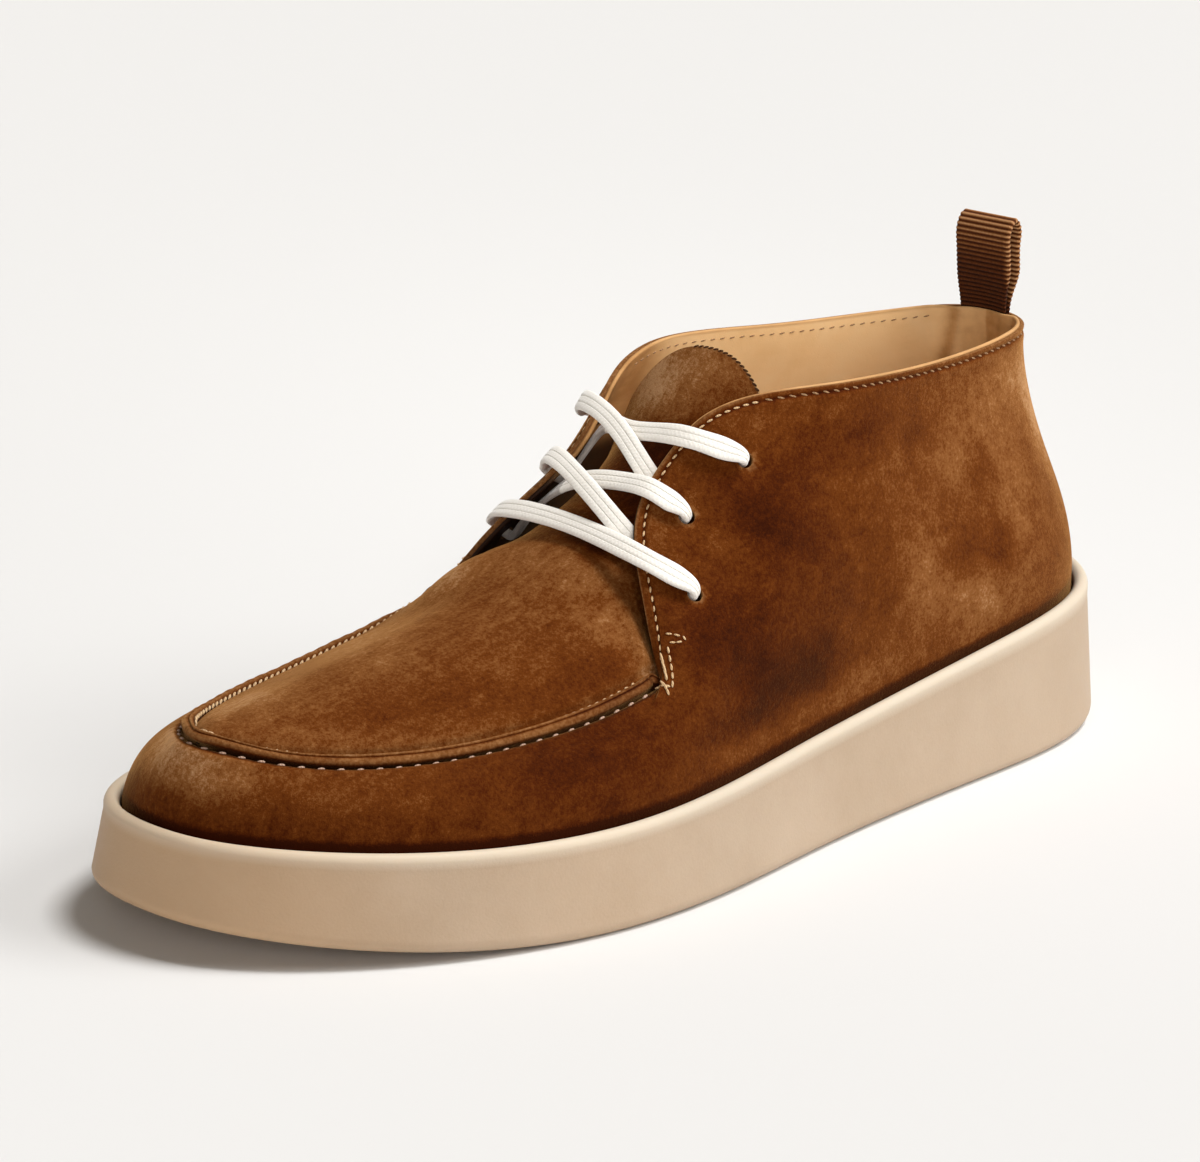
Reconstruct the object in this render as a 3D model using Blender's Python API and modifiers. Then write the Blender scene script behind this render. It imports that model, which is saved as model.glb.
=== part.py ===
"""A left chukka boot with a moccasin toe: suede upper and apron, rubber cup sole, flat laces and a heel loop.

The toe points to -Y, the outer (lateral) side is +X and the sole stands on Z = 0. The tables and sizes below
are in millimetres, and MM turns them into Blender's metres where the meshes are made.
"""
import math

import bmesh
import bpy
import numpy as np
from mathutils import Matrix, Vector
from mathutils.bvhtree import BVHTree

MM = 0.001

# ---------------------------------------------------------------- driving sizes, in millimetres
SOLE_LENGTH = 300.0
GAP = 0.3               # between pieces that touch on the real boot
SUEDE = 2.0             # suede and lining together
APRON_SUEDE = 1.8
TOE_SPRING = 9.0
HEEL_LIFT = 2.6
WAIST_HOLLOW = 1.5      # how far the tread lifts under the arch
WALL_FLARE = 2.8        # the sole's side leans in by this much from tread to rim
LIP = 3.4               # visible width of the sole's rim around the upper
INSOLE_THICKNESS = 4.0
EYELET_RADIUS = 2.3
FACING_TOP = 15.0       # the facings are the quarters' free edges ahead of this y
LACE_WIDTH = 5.7
LACE_THICKNESS = 1.8
LOOP_WIDTH = 16.0
LOOP_CENTRE = -4.0
LOOP_BEND = 0.036       # how strongly the collar rounds the loop's foot
WEBBING = 1.1

AROUND = 80             # columns of the sole's and insole's rings
QUARTER_COLUMNS = 25     # along one side of the upper, and around one half of the toe
TOE_COLUMNS = 17
UPPER_ROWS = 8

# Half widths of the sole from the heel (share 0) to the toe (share 1).
SOLE_OUTLINE = (
    # share  lateral medial
    (0.02, 18.3, -19.5),
    (0.06, 30.6, -31.5),
    (0.13, 39.0, -39.5),
    (0.22, 42.6, -41.0),
    (0.34, 46.0, -39.5),
    (0.46, 51.0, -41.0),
    (0.58, 57.2, -47.0),
    (0.68, 58.8, -52.3),
    (0.76, 55.4, -54.0),
    (0.84, 47.4, -51.3),
    (0.91, 35.7, -43.8),
    (0.96, 22.7, -34.3),
    (0.99, 9.0, -22.5),
)
HEEL_CENTRE = (-1.0, 0.0)   # x, share
TOE_TIP = (-8.0, 1.0)

# Heights above the ground, by share of the length: the cup's floor and the top of its rim.
SOLE_SECTIONS = (
    # share floor  rim
    (0.00, 22.0, 37.5),
    (0.12, 21.5, 35.2),
    (0.25, 19.0, 31.6),
    (0.40, 15.5, 27.8),
    (0.50, 13.5, 26.0),
    (0.65, 11.5, 24.0),
    (0.80, 12.0, 24.2),
    (0.92, 15.5, 26.4),
    (1.00, 18.5, 28.4),
)

# The centre line of the upper bends towards the inner side in the forefoot.
CENTRE_LINE = (
    # y      x
    (150.0, -3.0),
    (0.0, -3.0),
    (-60.0, -4.0),
    (-150.0, -7.5),
)

# Each station joins a point of the rim (base, the share of the way round from heel to toe) to a point of
# the upper's free edge. The two bulges push the section out at a third and two thirds of its height, and
# tilt turns that push from level (0) to straight up (90).
QUARTER = (
    # base    y     half   z     low   high  tilt
    (0.000, 125.9,  0.0, 101.9,  5.0, -6.0,  0.0),
    (0.045, 122.0, 10.5, 101.8,  6.0, -6.0,  0.0),
    (0.100, 109.3, 17.6, 101.6,  7.0, -6.0,  0.0),
    (0.150,  91.0, 22.0, 101.7,  7.0, -4.5,  0.0),
    (0.210,  69.0, 25.6, 102.4,  6.5, -3.5,  0.0),
    (0.270,  49.0, 28.0, 103.8,  6.0, -1.0,  0.0),
    (0.320,  33.0, 27.6, 104.6,  6.0,  2.0,  0.0),
    (0.365,  20.0, 23.8, 104.5,  6.5,  7.0,  0.0),
    (0.400,  10.0, 19.6, 103.0,  7.5, 12.5,  0.0),
    (0.430,   2.0, 16.0,  99.2,  8.0, 17.0,  2.0),
    (0.460,  -5.0, 13.9,  92.5,  8.5, 19.5,  5.0),
    (0.488, -12.2, 14.0,  85.5,  8.5, 19.5,  8.0),
    (0.514, -18.6, 16.8,  79.0,  8.5, 17.5, 10.0),
    (0.540, -23.3, 21.9,  71.8,  8.0, 13.5, 12.0),
    (0.566, -26.6, 28.0,  63.5,  7.0,  9.5, 13.0),
    (0.592, -29.2, 33.8,  55.0,  6.0,  6.0, 12.0),
    (0.620, -31.0, 39.0,  47.8,  5.5,  4.0, 10.0),
)
TOE_WALL = (
    # base    y     half   z     low   high  tilt
    (0.620, -31.0, 39.0,  47.8,  5.5,  4.0, 10.0),
    (0.675, -47.0, 38.6,  44.3,  5.5,  5.3, 30.0),
    (0.725, -62.0, 37.3,  42.2,  5.5,  6.0, 42.0),
    (0.780, -79.0, 34.6,  40.8,  5.5,  6.0, 45.0),
    (0.830, -95.0, 30.6,  40.4,  5.5,  6.0, 45.0),
    (0.885, -111.0, 24.0,  41.0,  5.0,  5.5, 44.0),
    (0.935, -123.5, 15.6,  42.8,  4.5,  5.0, 42.0),
    (0.970, -130.5,  7.8,  44.6,  4.0,  4.5, 40.0),
    (1.000, -133.5,  0.0,  45.4,  4.0,  4.5, 40.0),
)

# The top of the foot along the centre line, from the apron's tip to where the tongue starts.
INSTEP = (
    # y      z
    (-136.0, 45.4),
    (-120.0, 48.8),
    (-100.0, 51.8),
    (-80.0, 54.8),
    (-60.0, 58.8),
    (-45.0, 63.3),
    (-32.0, 68.6),
    (-22.0, 73.0),
)
# The tongue below the laces: its middle, half width, how far its sides lie back and down, and how far its
# +X side lies back from the other one.
TONGUE = (
    # x     y      z    half  back  drop  turn
    (-3.2, -22.0,  72.6, 33.0, -2.0, 24.0, 0.0),
    (-3.0, -11.0,  78.2, 30.0,  3.0, 22.0, 0.0),
    (-2.5,   0.0,  87.3, 25.5,  7.0, 18.0, 1.0),
    (-1.8,   9.0,  98.5, 21.5,  5.0, 13.0, 3.0),
    (-0.8,  18.3, 110.7, 18.6,  1.0, 10.5, 4.5),
)
TONGUE_ROUND = 0.10      # how far the tongue's end falls back at its sides, as a share of its length

# Eyelets, from the lowest up, by their place on the side of the upper.
EYELETS = (
    # y     z
    (-16.0, 65.0),
    (-8.8, 79.6),
    (7.7, 90.6),
)
# Heights on the facing's edge where the lace passes over it, from the lowest up.
LACE_OVER = (71.8, 84.6, 95.6)
# Heights where it passes under the facing's edge, on the +X side and on the -X side.
LACE_UNDER = (
    # +X    -X
    (75.3, 82.5),
    (87.0, 97.0),
)
# Places in the lace's runs over the instep, from the lowest up, each from its +X end to its -X end.
LACE_SLACK = (0.4, 1.8, 3.0)     # how far it stands off the edge of the -X facing, from the lowest up
LACE_RUNS = (
    # x      y      z
    ((6.0, -23.4, 74.9), (-13.0, -24.7, 76.2)),                          # the bar
    ((7.0, -21.5, 80.2), (-2.0, -19.8, 83.6), (-9.0, -17.9, 85.7)),      # up to the second -X eyelet
    ((6.0, -12.0, 84.5), (-1.0, -13.7, 84.6), (-8.5, -15.4, 83.3)),      # up to the second +X eyelet
    ((4.5, -9.7, 90.4), (-5.0, -6.4, 94.9), (-11.0, -5.3, 97.4)),        # up to the top -X eyelet
    ((5.0, -2.5, 94.7), (-2.0, -4.7, 94.0), (-8.0, -3.8, 94.0)),         # up to the top +X eyelet
)

# The heel loop's webbing in the plane of the centre line, once round.
LOOP_PATH = (
    # y      z
    (121.6, 90.5),
    (121.5, 97.0),
    (121.3, 104.0),
    (122.2, 113.0),
    (123.0, 120.5),
    (122.9, 124.6),
    (121.3, 126.4),
    (119.7, 124.6),
    (119.2, 118.5),
    (119.2, 111.0),
    (119.7, 103.5),
    (119.9, 96.5),
)


# ---------------------------------------------------------------- curves
def smooth_curve(knots, rows):
    """A natural cubic spline through the rows, as a function of an array of positions among the knots."""
    knots = np.asarray(knots, float)
    rows = np.asarray(rows, float).reshape(len(knots), -1)
    step = np.diff(knots)
    slope = np.diff(rows, axis=0) / step[:, None]
    system = np.eye(len(knots)) * 2
    right = np.empty_like(rows)
    system[0, 1] = system[-1, -2] = 1
    right[0], right[-1] = 3 * slope[0], 3 * slope[-1]
    for k in range(1, len(knots) - 1):
        system[k, k - 1 : k + 2] = step[k], 2 * (step[k - 1] + step[k]), step[k - 1]
        right[k] = 3 * (step[k] * slope[k - 1] + step[k - 1] * slope[k])
    tangent = np.linalg.solve(system, right)

    def at(position):
        position = np.atleast_1d(np.asarray(position, float))
        k = np.clip(np.searchsorted(knots, position) - 1, 0, len(step) - 1)
        t = ((position - knots[k]) / step[k])[:, None]
        width = step[k][:, None]
        start = rows[k] * (2 * t**3 - 3 * t**2 + 1) + tangent[k] * width * (t**3 - 2 * t**2 + t)
        end = rows[k + 1] * (3 * t**2 - 2 * t**3) + tangent[k + 1] * width * (t**3 - t**2)
        return start + end

    return at


def column_curve(table):
    """A smooth function of a table's first column that gives its other columns."""
    table = np.array(table)
    order = np.argsort(table[:, 0])
    return smooth_curve(table[order, 0], table[order, 1:])


def closed_outline():
    """The sole's widest outline by way: 0 at the heel, up to 1 at the toe along +X, and to 2 back along -X."""
    lateral = [(row[1], row[0]) for row in SOLE_OUTLINE]
    medial = [(row[2], row[0]) for row in SOLE_OUTLINE[::-1]]
    loop = np.array([HEEL_CENTRE, *lateral, TOE_TIP, *medial, HEEL_CENTRE])
    points = np.column_stack([loop[:, 0], SOLE_LENGTH * (0.5 - loop[:, 1])])
    run = np.concatenate([[0], np.cumsum(np.linalg.norm(np.diff(points, axis=0), axis=1))])
    toe = len(lateral) + 1
    way = np.where(run <= run[toe], run / run[toe], 1 + (run - run[toe]) / (run[-1] - run[toe]))
    wrapped = np.concatenate([way[-4:-1] - 2, way, way[1:4] + 2])
    curve = smooth_curve(wrapped, np.concatenate([points[-4:-1], points, points[1:4]]))
    samples = curve(np.linspace(0, 2, 800))
    middle = (samples.max(axis=0) + samples.min(axis=0)) / 2
    return lambda position: curve(np.mod(position, 2)) - middle


outline = closed_outline()
sole_heights = column_curve(SOLE_SECTIONS)
centre_x = column_curve(CENTRE_LINE)


def share_of(y):
    return np.clip(0.5 - y / SOLE_LENGTH, 0, 1)


def tread_height(y):
    share = share_of(y)
    toe = TOE_SPRING * np.clip((share - 0.70) / 0.30, 0, None) ** 2
    heel = HEEL_LIFT * np.clip((0.12 - share) / 0.12, 0, None) ** 2
    return toe + heel


def floor_height(y):
    return sole_heights(share_of(y))[:, 0]


def rim_height(y):
    return sole_heights(share_of(y))[:, 1]


def inset_outline(way, inset):
    """Plan points on the outline moved in by inset, and the outward normals there."""
    here = outline(way)
    ahead = outline(way + 0.002) - outline(way - 0.002)
    normal = np.column_stack([-ahead[:, 1], ahead[:, 0]])
    normal /= np.linalg.norm(normal, axis=1)[:, None]
    return here - normal * inset, normal


# ---------------------------------------------------------------- meshes
def new_object(name, mesh, collection, material=None):
    piece = bpy.data.objects.new(name, mesh)
    collection.objects.link(piece)
    if material:
        mesh.materials.append(material)
    return piece


def finished_mesh(name, bm, sharp_angle=35):
    bmesh.ops.recalc_face_normals(bm, faces=bm.faces)
    mesh = bpy.data.meshes.new(name)
    bm.to_mesh(mesh)
    bm.free()
    mesh.shade_smooth()
    mesh.set_sharp_from_angle(angle=math.radians(sharp_angle))
    return mesh


def add_ring(bm, points):
    return [bm.verts.new(Vector(point) * MM) for point in points]


def skin(bm, rings, closed=True):
    """Quads between neighbouring rings."""
    for lower, upper in zip(rings, rings[1:]):
        count = len(lower) if closed else len(lower) - 1
        for k in range(count):
            n = (k + 1) % len(lower)
            bm.faces.new((lower[k], lower[n], upper[n], upper[k]))


def ladder(bm, ring, across, lift=lambda y, share: 0.0):
    """Fills a ring that starts at the heel with strips from its +X side to its -X side."""
    count = len(ring)
    rungs = []
    for k in range(1, count // 2):
        right, left = ring[k], ring[count - k]
        rung = [right]
        for step in range(1, across):
            point = right.co.lerp(left.co, step / across)
            point.z += lift(point.y / MM, step / across) * MM
            rung.append(bm.verts.new(point))
        rungs.append([*rung, left])
    for rung, end in ((rungs[0], ring[0]), (rungs[-1], ring[count // 2])):
        for a, b in zip(rung, rung[1:]):
            bm.faces.new((a, b, end))
    skin(bm, rungs, closed=False)


def ringed_solid(name, levels, collection, material, across=4, lift=lambda y, share: 0.0):
    """A closed solid through the sole's outline at each level: an inset and a function of y for its height."""
    bm = bmesh.new()
    way = np.arange(AROUND) * 2 / AROUND
    rings = []
    for inset, height in levels:
        plan, _ = inset_outline(way, inset)
        rings.append(add_ring(bm, np.column_stack([plan, height(plan[:, 1])])))
    skin(bm, rings)
    ladder(bm, rings[0], across, lift)
    ladder(bm, rings[-1], across)
    return new_object(name, finished_mesh(name, bm), collection, material)


def make_sole(collection, material):
    """One moulded cup: tread, leaning side, rounded lip, and the hollow that takes the upper."""

    def over_tread(share_up, offset=0.0):
        return lambda y: tread_height(y) * (1 - share_up) + rim_height(y) * share_up + offset

    cup = WALL_FLARE + LIP
    levels = (
        (2.4, over_tread(0)),
        (0.8, over_tread(0, 0.3)),
        (0.15, over_tread(0, 1.0)),
        (0.0, over_tread(0, 2.6)),
        (WALL_FLARE * 0.5, over_tread(0.55)),
        (WALL_FLARE * 0.95, over_tread(1, -1.8)),
        (WALL_FLARE + 0.6, over_tread(1, -0.5)),
        (WALL_FLARE + LIP * 0.5, over_tread(1)),
        (cup - 0.5, over_tread(1, -0.5)),
        (cup, over_tread(1, -1.8)),
        (cup, floor_height),
    )

    def arch(y, across):
        along = np.clip((share_of(y) - 0.30) / 0.26, 0, 1)
        return WAIST_HOLLOW * math.sin(math.pi * along) ** 2 * math.sin(math.pi * across)

    return ringed_solid("cup_sole", levels, collection, material, lift=arch)


def make_insole(collection, material):
    inset = WALL_FLARE + LIP + GAP + SUEDE + GAP + 0.6
    levels = (
        (inset, lambda y: floor_height(y) + GAP),
        (inset, lambda y: floor_height(y) + GAP + INSOLE_THICKNESS - 0.8),
        (inset + 1.0, lambda y: floor_height(y) + GAP + INSOLE_THICKNESS),
    )
    return ringed_solid("insole", levels, collection, material)


def stations(table, count, crowd=1.0):
    """The table's columns at count places along its free edge, more crowded towards its last row above 1.

    Where the edge ends on the centre line, a mirrored row beyond it lets the curve run straight across.
    """
    rows = np.array(table)
    if rows[0, 2] == 0:
        rows = np.vstack([rows[1] * (-1, 1, -1, 1, 1, 1, 1), rows])
    if rows[-1, 2] == 0:
        rows = np.vstack([rows, rows[-2] * (-1, 1, -1, 1, 1, 1, 1) + (2, 0, 0, 0, 0, 0, 0)])
    run = np.concatenate([[0], np.cumsum(np.linalg.norm(np.diff(rows[:, 1:4], axis=0), axis=1))])
    first = run[len(rows) - len(table)] if table[0][2] == 0 else 0
    last = run[-2] if table[-1][2] == 0 else run[-1]
    places = last - (last - first) * (1 - np.linspace(0, 1, count)) ** crowd
    return smooth_curve(run, rows)(places)


def toe_stations():
    """The stations of the seam around the toe, from the facing's corner to the apron's tip."""
    return stations(TOE_WALL, TOE_COLUMNS, 1.45)


def wall_columns():
    """One half of the upper's stations, heel to toe, with the corner under the facing kept sharp."""
    return np.vstack([stations(QUARTER, QUARTER_COLUMNS), toe_stations()[1:]])


def wall_section(column, side):
    """The outer face of the upper from the cup's floor to the free edge, at one station of one side."""
    base, y, half, z, low, high, tilt = column
    way = base if side > 0 else 2 - base
    plan, normal = inset_outline(np.array([way]), WALL_FLARE + LIP + GAP + 0.2)
    rim = np.array([*plan[0], rim_height(plan[:, 1])[0] - 1.0])
    foot = np.array([*plan[0], floor_height(plan[:, 1])[0] + GAP])
    edge = np.array([centre_x(y)[0, 0] + side * half, y, z])
    lean = math.radians(tilt)
    push = np.array([*(normal[0] * math.cos(lean)), math.sin(lean)])
    first = rim + (edge - rim) / 3 + push * low
    second = rim + (edge - rim) * 2 / 3 + push * high
    section = [foot, (foot + rim) / 2]
    for t in np.linspace(0, 1, UPPER_ROWS + 1):
        section.append(
            rim * (1 - t) ** 3 + first * 3 * t * (1 - t) ** 2 + second * 3 * t**2 * (1 - t) + edge * t**3
        )
    return np.array(section)


def upper_surface():
    """Rings of the upper's outer face, one for each row, from the foot to the free edge."""
    columns = wall_columns()
    lateral = [wall_section(column, 1) for column in columns]
    medial = [wall_section(column, -1) for column in columns[-2:0:-1]]
    return np.array(lateral + medial).transpose(1, 0, 2)


def outer_face():
    """The upper's outer face in millimetres, for finding where things sit on it."""
    rings = upper_surface()
    rows, columns = rings.shape[:2]
    numbers = np.arange(rows * columns).reshape(rows, columns)
    turned = np.roll(numbers, -1, axis=1)
    quads = np.stack([numbers[:-1], turned[:-1], turned[1:], numbers[1:]], axis=-1)
    return BVHTree.FromPolygons(rings.reshape(-1, 3).tolist(), quads.reshape(-1, 4).tolist())


def side_seat(face, side, y, z):
    """The point of the outer face at y and z on one side, and the direction away from the foot there."""
    point, normal, _, _ = face.ray_cast(Vector((side * SOLE_LENGTH, y, z)), Vector((-side, 0, 0)))
    return np.array(point), np.array(normal) * math.copysign(1, normal.x * side)


def facing_seat(face, side, z):
    """The point of the facing's edge at height z, and the direction away from the foot there."""
    facing = [(row[3], row[1], row[2]) for row in QUARTER if row[1] < FACING_TOP]
    y, half = column_curve(facing)(z)[0]
    edge = np.array([centre_x(y)[0, 0] + side * half, y, z])
    _, normal, _, _ = face.find_nearest(Vector(edge))
    return edge, np.array(normal) * math.copysign(1, normal.x * side)


def make_punches(face, collection):
    """Six round cutters across the facings, one for each eyelet hole."""
    bm = bmesh.new()
    for side in (1, -1):
        for y, z in EYELETS:
            seat, away = side_seat(face, side, y, z)
            turn = Vector(away).to_track_quat("Z", "Y").to_matrix().to_4x4()
            bmesh.ops.create_cone(
                bm,
                cap_ends=True,
                segments=14,
                radius1=EYELET_RADIUS * MM,
                radius2=EYELET_RADIUS * MM,
                depth=6 * SUEDE * MM,
                matrix=Matrix.Translation(Vector(seat) * MM) @ turn,
            )
    punches = new_object("punches", finished_mesh("punches", bm), collection)
    punches.display_type = "WIRE"
    punches.hide_render = True
    return punches


def make_upper(face, collection, cutters, material):
    bm = bmesh.new()
    skin(bm, [add_ring(bm, ring) for ring in upper_surface()])
    bmesh.ops.triangulate(bm, faces=bm.faces)
    piece = new_object("upper", finished_mesh("upper", bm), collection, material)
    wall = piece.modifiers.new("wall", "SOLIDIFY")
    wall.thickness = SUEDE * MM
    wall.offset = -1
    holes = piece.modifiers.new("eyelet_holes", "BOOLEAN")
    holes.operation = "DIFFERENCE"
    holes.object = make_punches(face, cutters)
    return piece


def apron_edge():
    """The seam around the toe, moved in by the gap, from the tip to the corner on the +X side."""
    rows = toe_stations()[::-1]
    edge = np.column_stack([rows[:, 2], rows[:, 1], rows[:, 3]])
    along = np.gradient(edge[:, :2], axis=0)
    normal = np.column_stack([along[:, 1], -along[:, 0]])
    normal[0] = (0, -1)
    normal /= np.linalg.norm(normal, axis=1)[:, None]
    edge[:, :2] -= normal * GAP * 1.3
    edge[-1] -= (1.5, 1.2, 0.9)
    return edge


def cross_row(middle, half, back, drop, turn, across, power=2.2):
    """A row of points over the foot, from the +X side to the -X side."""
    u = np.linspace(1, -1, across + 1)
    shape = np.abs(u) ** power
    return np.column_stack(
        [middle[0] + half * u, middle[1] + back * shape + turn * u, middle[2] - drop * shape]
    )


def vamp_rows(across=12, along=11):
    """Rows of the apron's and tongue's outer face, from the tip to the top of the tongue."""
    instep = column_curve(INSTEP)
    rows = []
    for half, y, z in apron_edge()[1:]:
        top = instep(y)[0, 0]
        rows.append(cross_row((centre_x(y)[0, 0], y, top), half, 0.0, top - z, 0.0, across))
    tongue = smooth_curve(np.linspace(0, 1, len(TONGUE)), TONGUE)
    u = np.abs(np.linspace(1, -1, across + 1))
    for share in np.linspace(0, 1, along):
        row = []
        for k, place in enumerate(share * (1 - TONGUE_ROUND * share * u**3)):
            x, y, z, half, back, drop, turn = tongue(place)[0]
            row.append(cross_row((x, y, z), half, back, drop, turn, across)[k])
        rows.append(row)
    return np.array(rows)


def make_vamp(collection, material):
    """The apron and the tongue, cut as one piece."""
    rows = vamp_rows()
    bm = bmesh.new()
    rings = [add_ring(bm, row) for row in rows]
    skin(bm, rings, closed=False)
    half, y, z = apron_edge()[0]
    tip = bm.verts.new(Vector((centre_x(y)[0, 0], y, z)) * MM)
    for a, b in zip(rings[0], rings[0][1:]):
        bm.faces.new((a, b, tip))
    piece = new_object("apron_and_tongue", finished_mesh("apron_and_tongue", bm), collection, material)
    if sum(face.normal.z for face in piece.data.polygons) < 0:
        piece.data.flip_normals()
    wall = piece.modifiers.new("wall", "SOLIDIFY")
    wall.thickness = APRON_SUEDE * MM
    wall.offset = -1
    return piece


def unit(vector):
    return vector / np.linalg.norm(vector)


def beside(face, side, point, distance):
    """The place at a distance from the outer face, near a point, and the direction away from the foot there."""
    seat, normal, _, _ = face.find_nearest(Vector(point))
    away = np.array(normal) * math.copysign(1, normal.x * side)
    return np.array(seat) + away * distance, away


def lace_nodes(face):
    """Places along the lace: a point, the direction its flat side faces, its width and its thickness.

    It starts inside the top eyelet of the +X side and ends inside the top one of the -X side. Under each
    facing it lies against the lining, and over each facing it lies on the suede.
    """
    nodes = []
    below = SUEDE + GAP + 0.7 + LACE_THICKNESS / 2
    above = GAP + 0.5 + LACE_THICKNESS / 2
    bunched = EYELET_RADIUS * 1.15

    def add(point, flat, width=LACE_WIDTH, thickness=LACE_THICKNESS):
        nodes.append(np.concatenate([point, unit(flat), [width, thickness]]))

    def eyelet_turn(side, eyelet, inner, inwards):
        """From under the facing's edge, out through an eyelet and over the edge, or the same way back."""
        seat, away = side_seat(face, side, *EYELETS[eyelet])
        start = len(nodes)
        if inner is None:
            add(seat - away * (SUEDE + 1.6), away + unit(np.array([0, -1, 1])), bunched, bunched)
        else:
            edge, _ = facing_seat(face, side, LACE_UNDER[inner][0 if side > 0 else 1])
            length = np.linalg.norm(edge - seat)
            add(*beside(face, side, edge, -below))
            if length > 14:
                add(*beside(face, side, (edge + seat) / 2, -below))
            add(*beside(face, side, seat + (edge - seat) * 5.5 / length, -below), LACE_WIDTH * 0.85)
            toward = unit(edge - seat)
            add(seat - away * (below + 0.2) + toward * 1.4, away + toward * 0.6, bunched, bunched * 0.85)
        over, over_away = facing_seat(face, side, LACE_OVER[eyelet])
        toward = unit(over - seat)
        slack = 0 if side > 0 else LACE_SLACK[eyelet]
        add(seat - away * SUEDE / 2, toward, bunched, bunched)
        add(seat + away * (above + 0.2) + toward * 1.2, away - toward, LACE_WIDTH * 0.65, 2.1)
        add(*beside(face, side, seat + toward * 4.8, above + 0.2))
        add(*beside(face, side, (seat + over + toward * 3.0) / 2, above + 0.2 + slack / 2))
        add(over + over_away * (above + 0.4) + np.array([side * 0.8, 0, 0.6]) * slack, over_away)
        if inwards:
            nodes[start:] = nodes[start:][::-1]

    def cross_over(run, towards):
        """Over the instep, from one facing to the other."""
        instep_up = np.array([0.0, -0.72, 0.69])
        for point in LACE_RUNS[run][:: -towards]:
            add(np.array(point), instep_up, LACE_WIDTH * 0.95)

    eyelet_turn(1, 2, None, False)
    cross_over(4, -1)
    eyelet_turn(-1, 1, 1, False)
    cross_over(1, 1)
    eyelet_turn(1, 0, 0, False)
    cross_over(0, -1)
    eyelet_turn(-1, 0, 0, True)
    cross_over(2, 1)
    eyelet_turn(1, 1, 1, True)
    cross_over(3, -1)
    eyelet_turn(-1, 2, None, True)
    return np.array(nodes)


def make_laces(face, collection, material, steps=2):
    """One flat lace through all six eyelets, made whole along its route."""
    nodes = lace_nodes(face)
    run = np.concatenate([[0], np.cumsum(np.linalg.norm(np.diff(nodes[:, :3], axis=0), axis=1))])
    across = np.cross(np.gradient(nodes[:, :3], run, axis=0), nodes[:, 3:6])
    for k in range(1, len(across)):
        across[k] *= math.copysign(1, across[k] @ across[k - 1])
    across /= np.linalg.norm(across, axis=1)[:, None]
    route = smooth_curve(run, np.column_stack([nodes[:, :3], across, nodes[:, 6:]]))
    places = np.interp(np.arange((len(run) - 1) * steps + 1) / steps, np.arange(len(run)), run)
    samples = route(places)
    tangents = route(places + 0.05)[:, :3] - route(places - 0.05)[:, :3]
    corners = np.radians(np.arange(22.5, 360, 45))
    flat = np.sign(np.cos(corners)) * np.abs(np.cos(corners)) ** 0.6
    steep = np.sign(np.sin(corners)) * np.abs(np.sin(corners)) ** 0.6
    bm = bmesh.new()
    rings = []
    for sample, tangent in zip(samples, tangents):
        tangent = unit(tangent)
        side = unit(sample[3:6] - tangent * (sample[3:6] @ tangent))
        thin = np.cross(tangent, side)
        width, thickness = sample[6:8] / 2
        ring = sample[:3] + np.outer(flat * width, side) + np.outer(steep * thickness, thin)
        rings.append(add_ring(bm, ring))
    skin(bm, rings)
    bm.faces.new(rings[0])
    bm.faces.new(rings[-1])
    return new_object("laces", finished_mesh("laces", bm, 60), collection, material)


def make_heel_loop(collection, material, across=4):
    """A band of webbing in a closed loop, rounded like the back of the collar below and flat above."""
    path = np.array([*LOOP_PATH[-2:], *LOOP_PATH, *LOOP_PATH[:2]])
    curve = smooth_curve(np.arange(-2, len(path) - 2), path)
    turns = np.linspace(0, len(LOOP_PATH), 36, endpoint=False)
    places = curve(turns)
    ahead = curve(turns + 0.01) - curve(turns - 0.01)
    normal = np.column_stack([-ahead[:, 1], ahead[:, 0]])
    normal /= np.linalg.norm(normal, axis=1)[:, None]
    bm = bmesh.new()
    rings = []
    for (y, z), (normal_y, normal_z) in zip(places, normal):
        x = LOOP_WIDTH / 2 * np.interp(z, (100, 112), (0.93, 1.0)) * np.linspace(1, -1, across + 1)
        bend = np.interp(z, (103, 122), (LOOP_BEND, 0)) * (x + LOOP_CENTRE - centre_x(y)[0, 0]) ** 2
        faces = []
        for reach in (WEBBING / 2, -WEBBING / 2):
            height = np.full(across + 1, z + normal_z * reach)
            faces.append(np.column_stack([LOOP_CENTRE + x, y + normal_y * reach - bend, height]))
        rings.append(add_ring(bm, np.vstack([faces[0], faces[1][::-1]])))
    skin(bm, [*rings, rings[0]])
    return new_object("heel_loop", finished_mesh("heel_loop", bm), collection, material)


def make_material(name, colour, roughness):
    material = bpy.data.materials.new(name)
    material.use_nodes = True
    shader = material.node_tree.nodes["Principled BSDF"]
    shader.inputs["Base Color"].default_value = (*colour, 1)
    shader.inputs["Roughness"].default_value = roughness
    shader.inputs["Metallic"].default_value = 0.0
    return material


def main():
    for old in list(bpy.data.objects):
        bpy.data.objects.remove(old)
    boot = bpy.data.collections.new("chukka_boot")
    cutters = bpy.data.collections.new("cutters")
    bpy.context.scene.collection.children.link(boot)
    bpy.context.scene.collection.children.link(cutters)

    rubber = make_material("gum_rubber", (0.62, 0.46, 0.32), 0.6)
    suede = make_material("brown_suede", (0.19, 0.07, 0.02), 0.9)
    leather = make_material("tan_leather", (0.52, 0.30, 0.13), 0.5)
    cotton = make_material("cream_cotton", (0.83, 0.80, 0.73), 0.85)
    webbing = make_material("brown_grosgrain", (0.11, 0.035, 0.015), 0.7)

    face = outer_face()
    make_sole(boot, rubber)
    make_insole(boot, leather)
    make_upper(face, boot, cutters, suede)
    make_vamp(boot, suede)
    make_laces(face, boot, cotton)
    make_heel_loop(boot, webbing)


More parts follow.
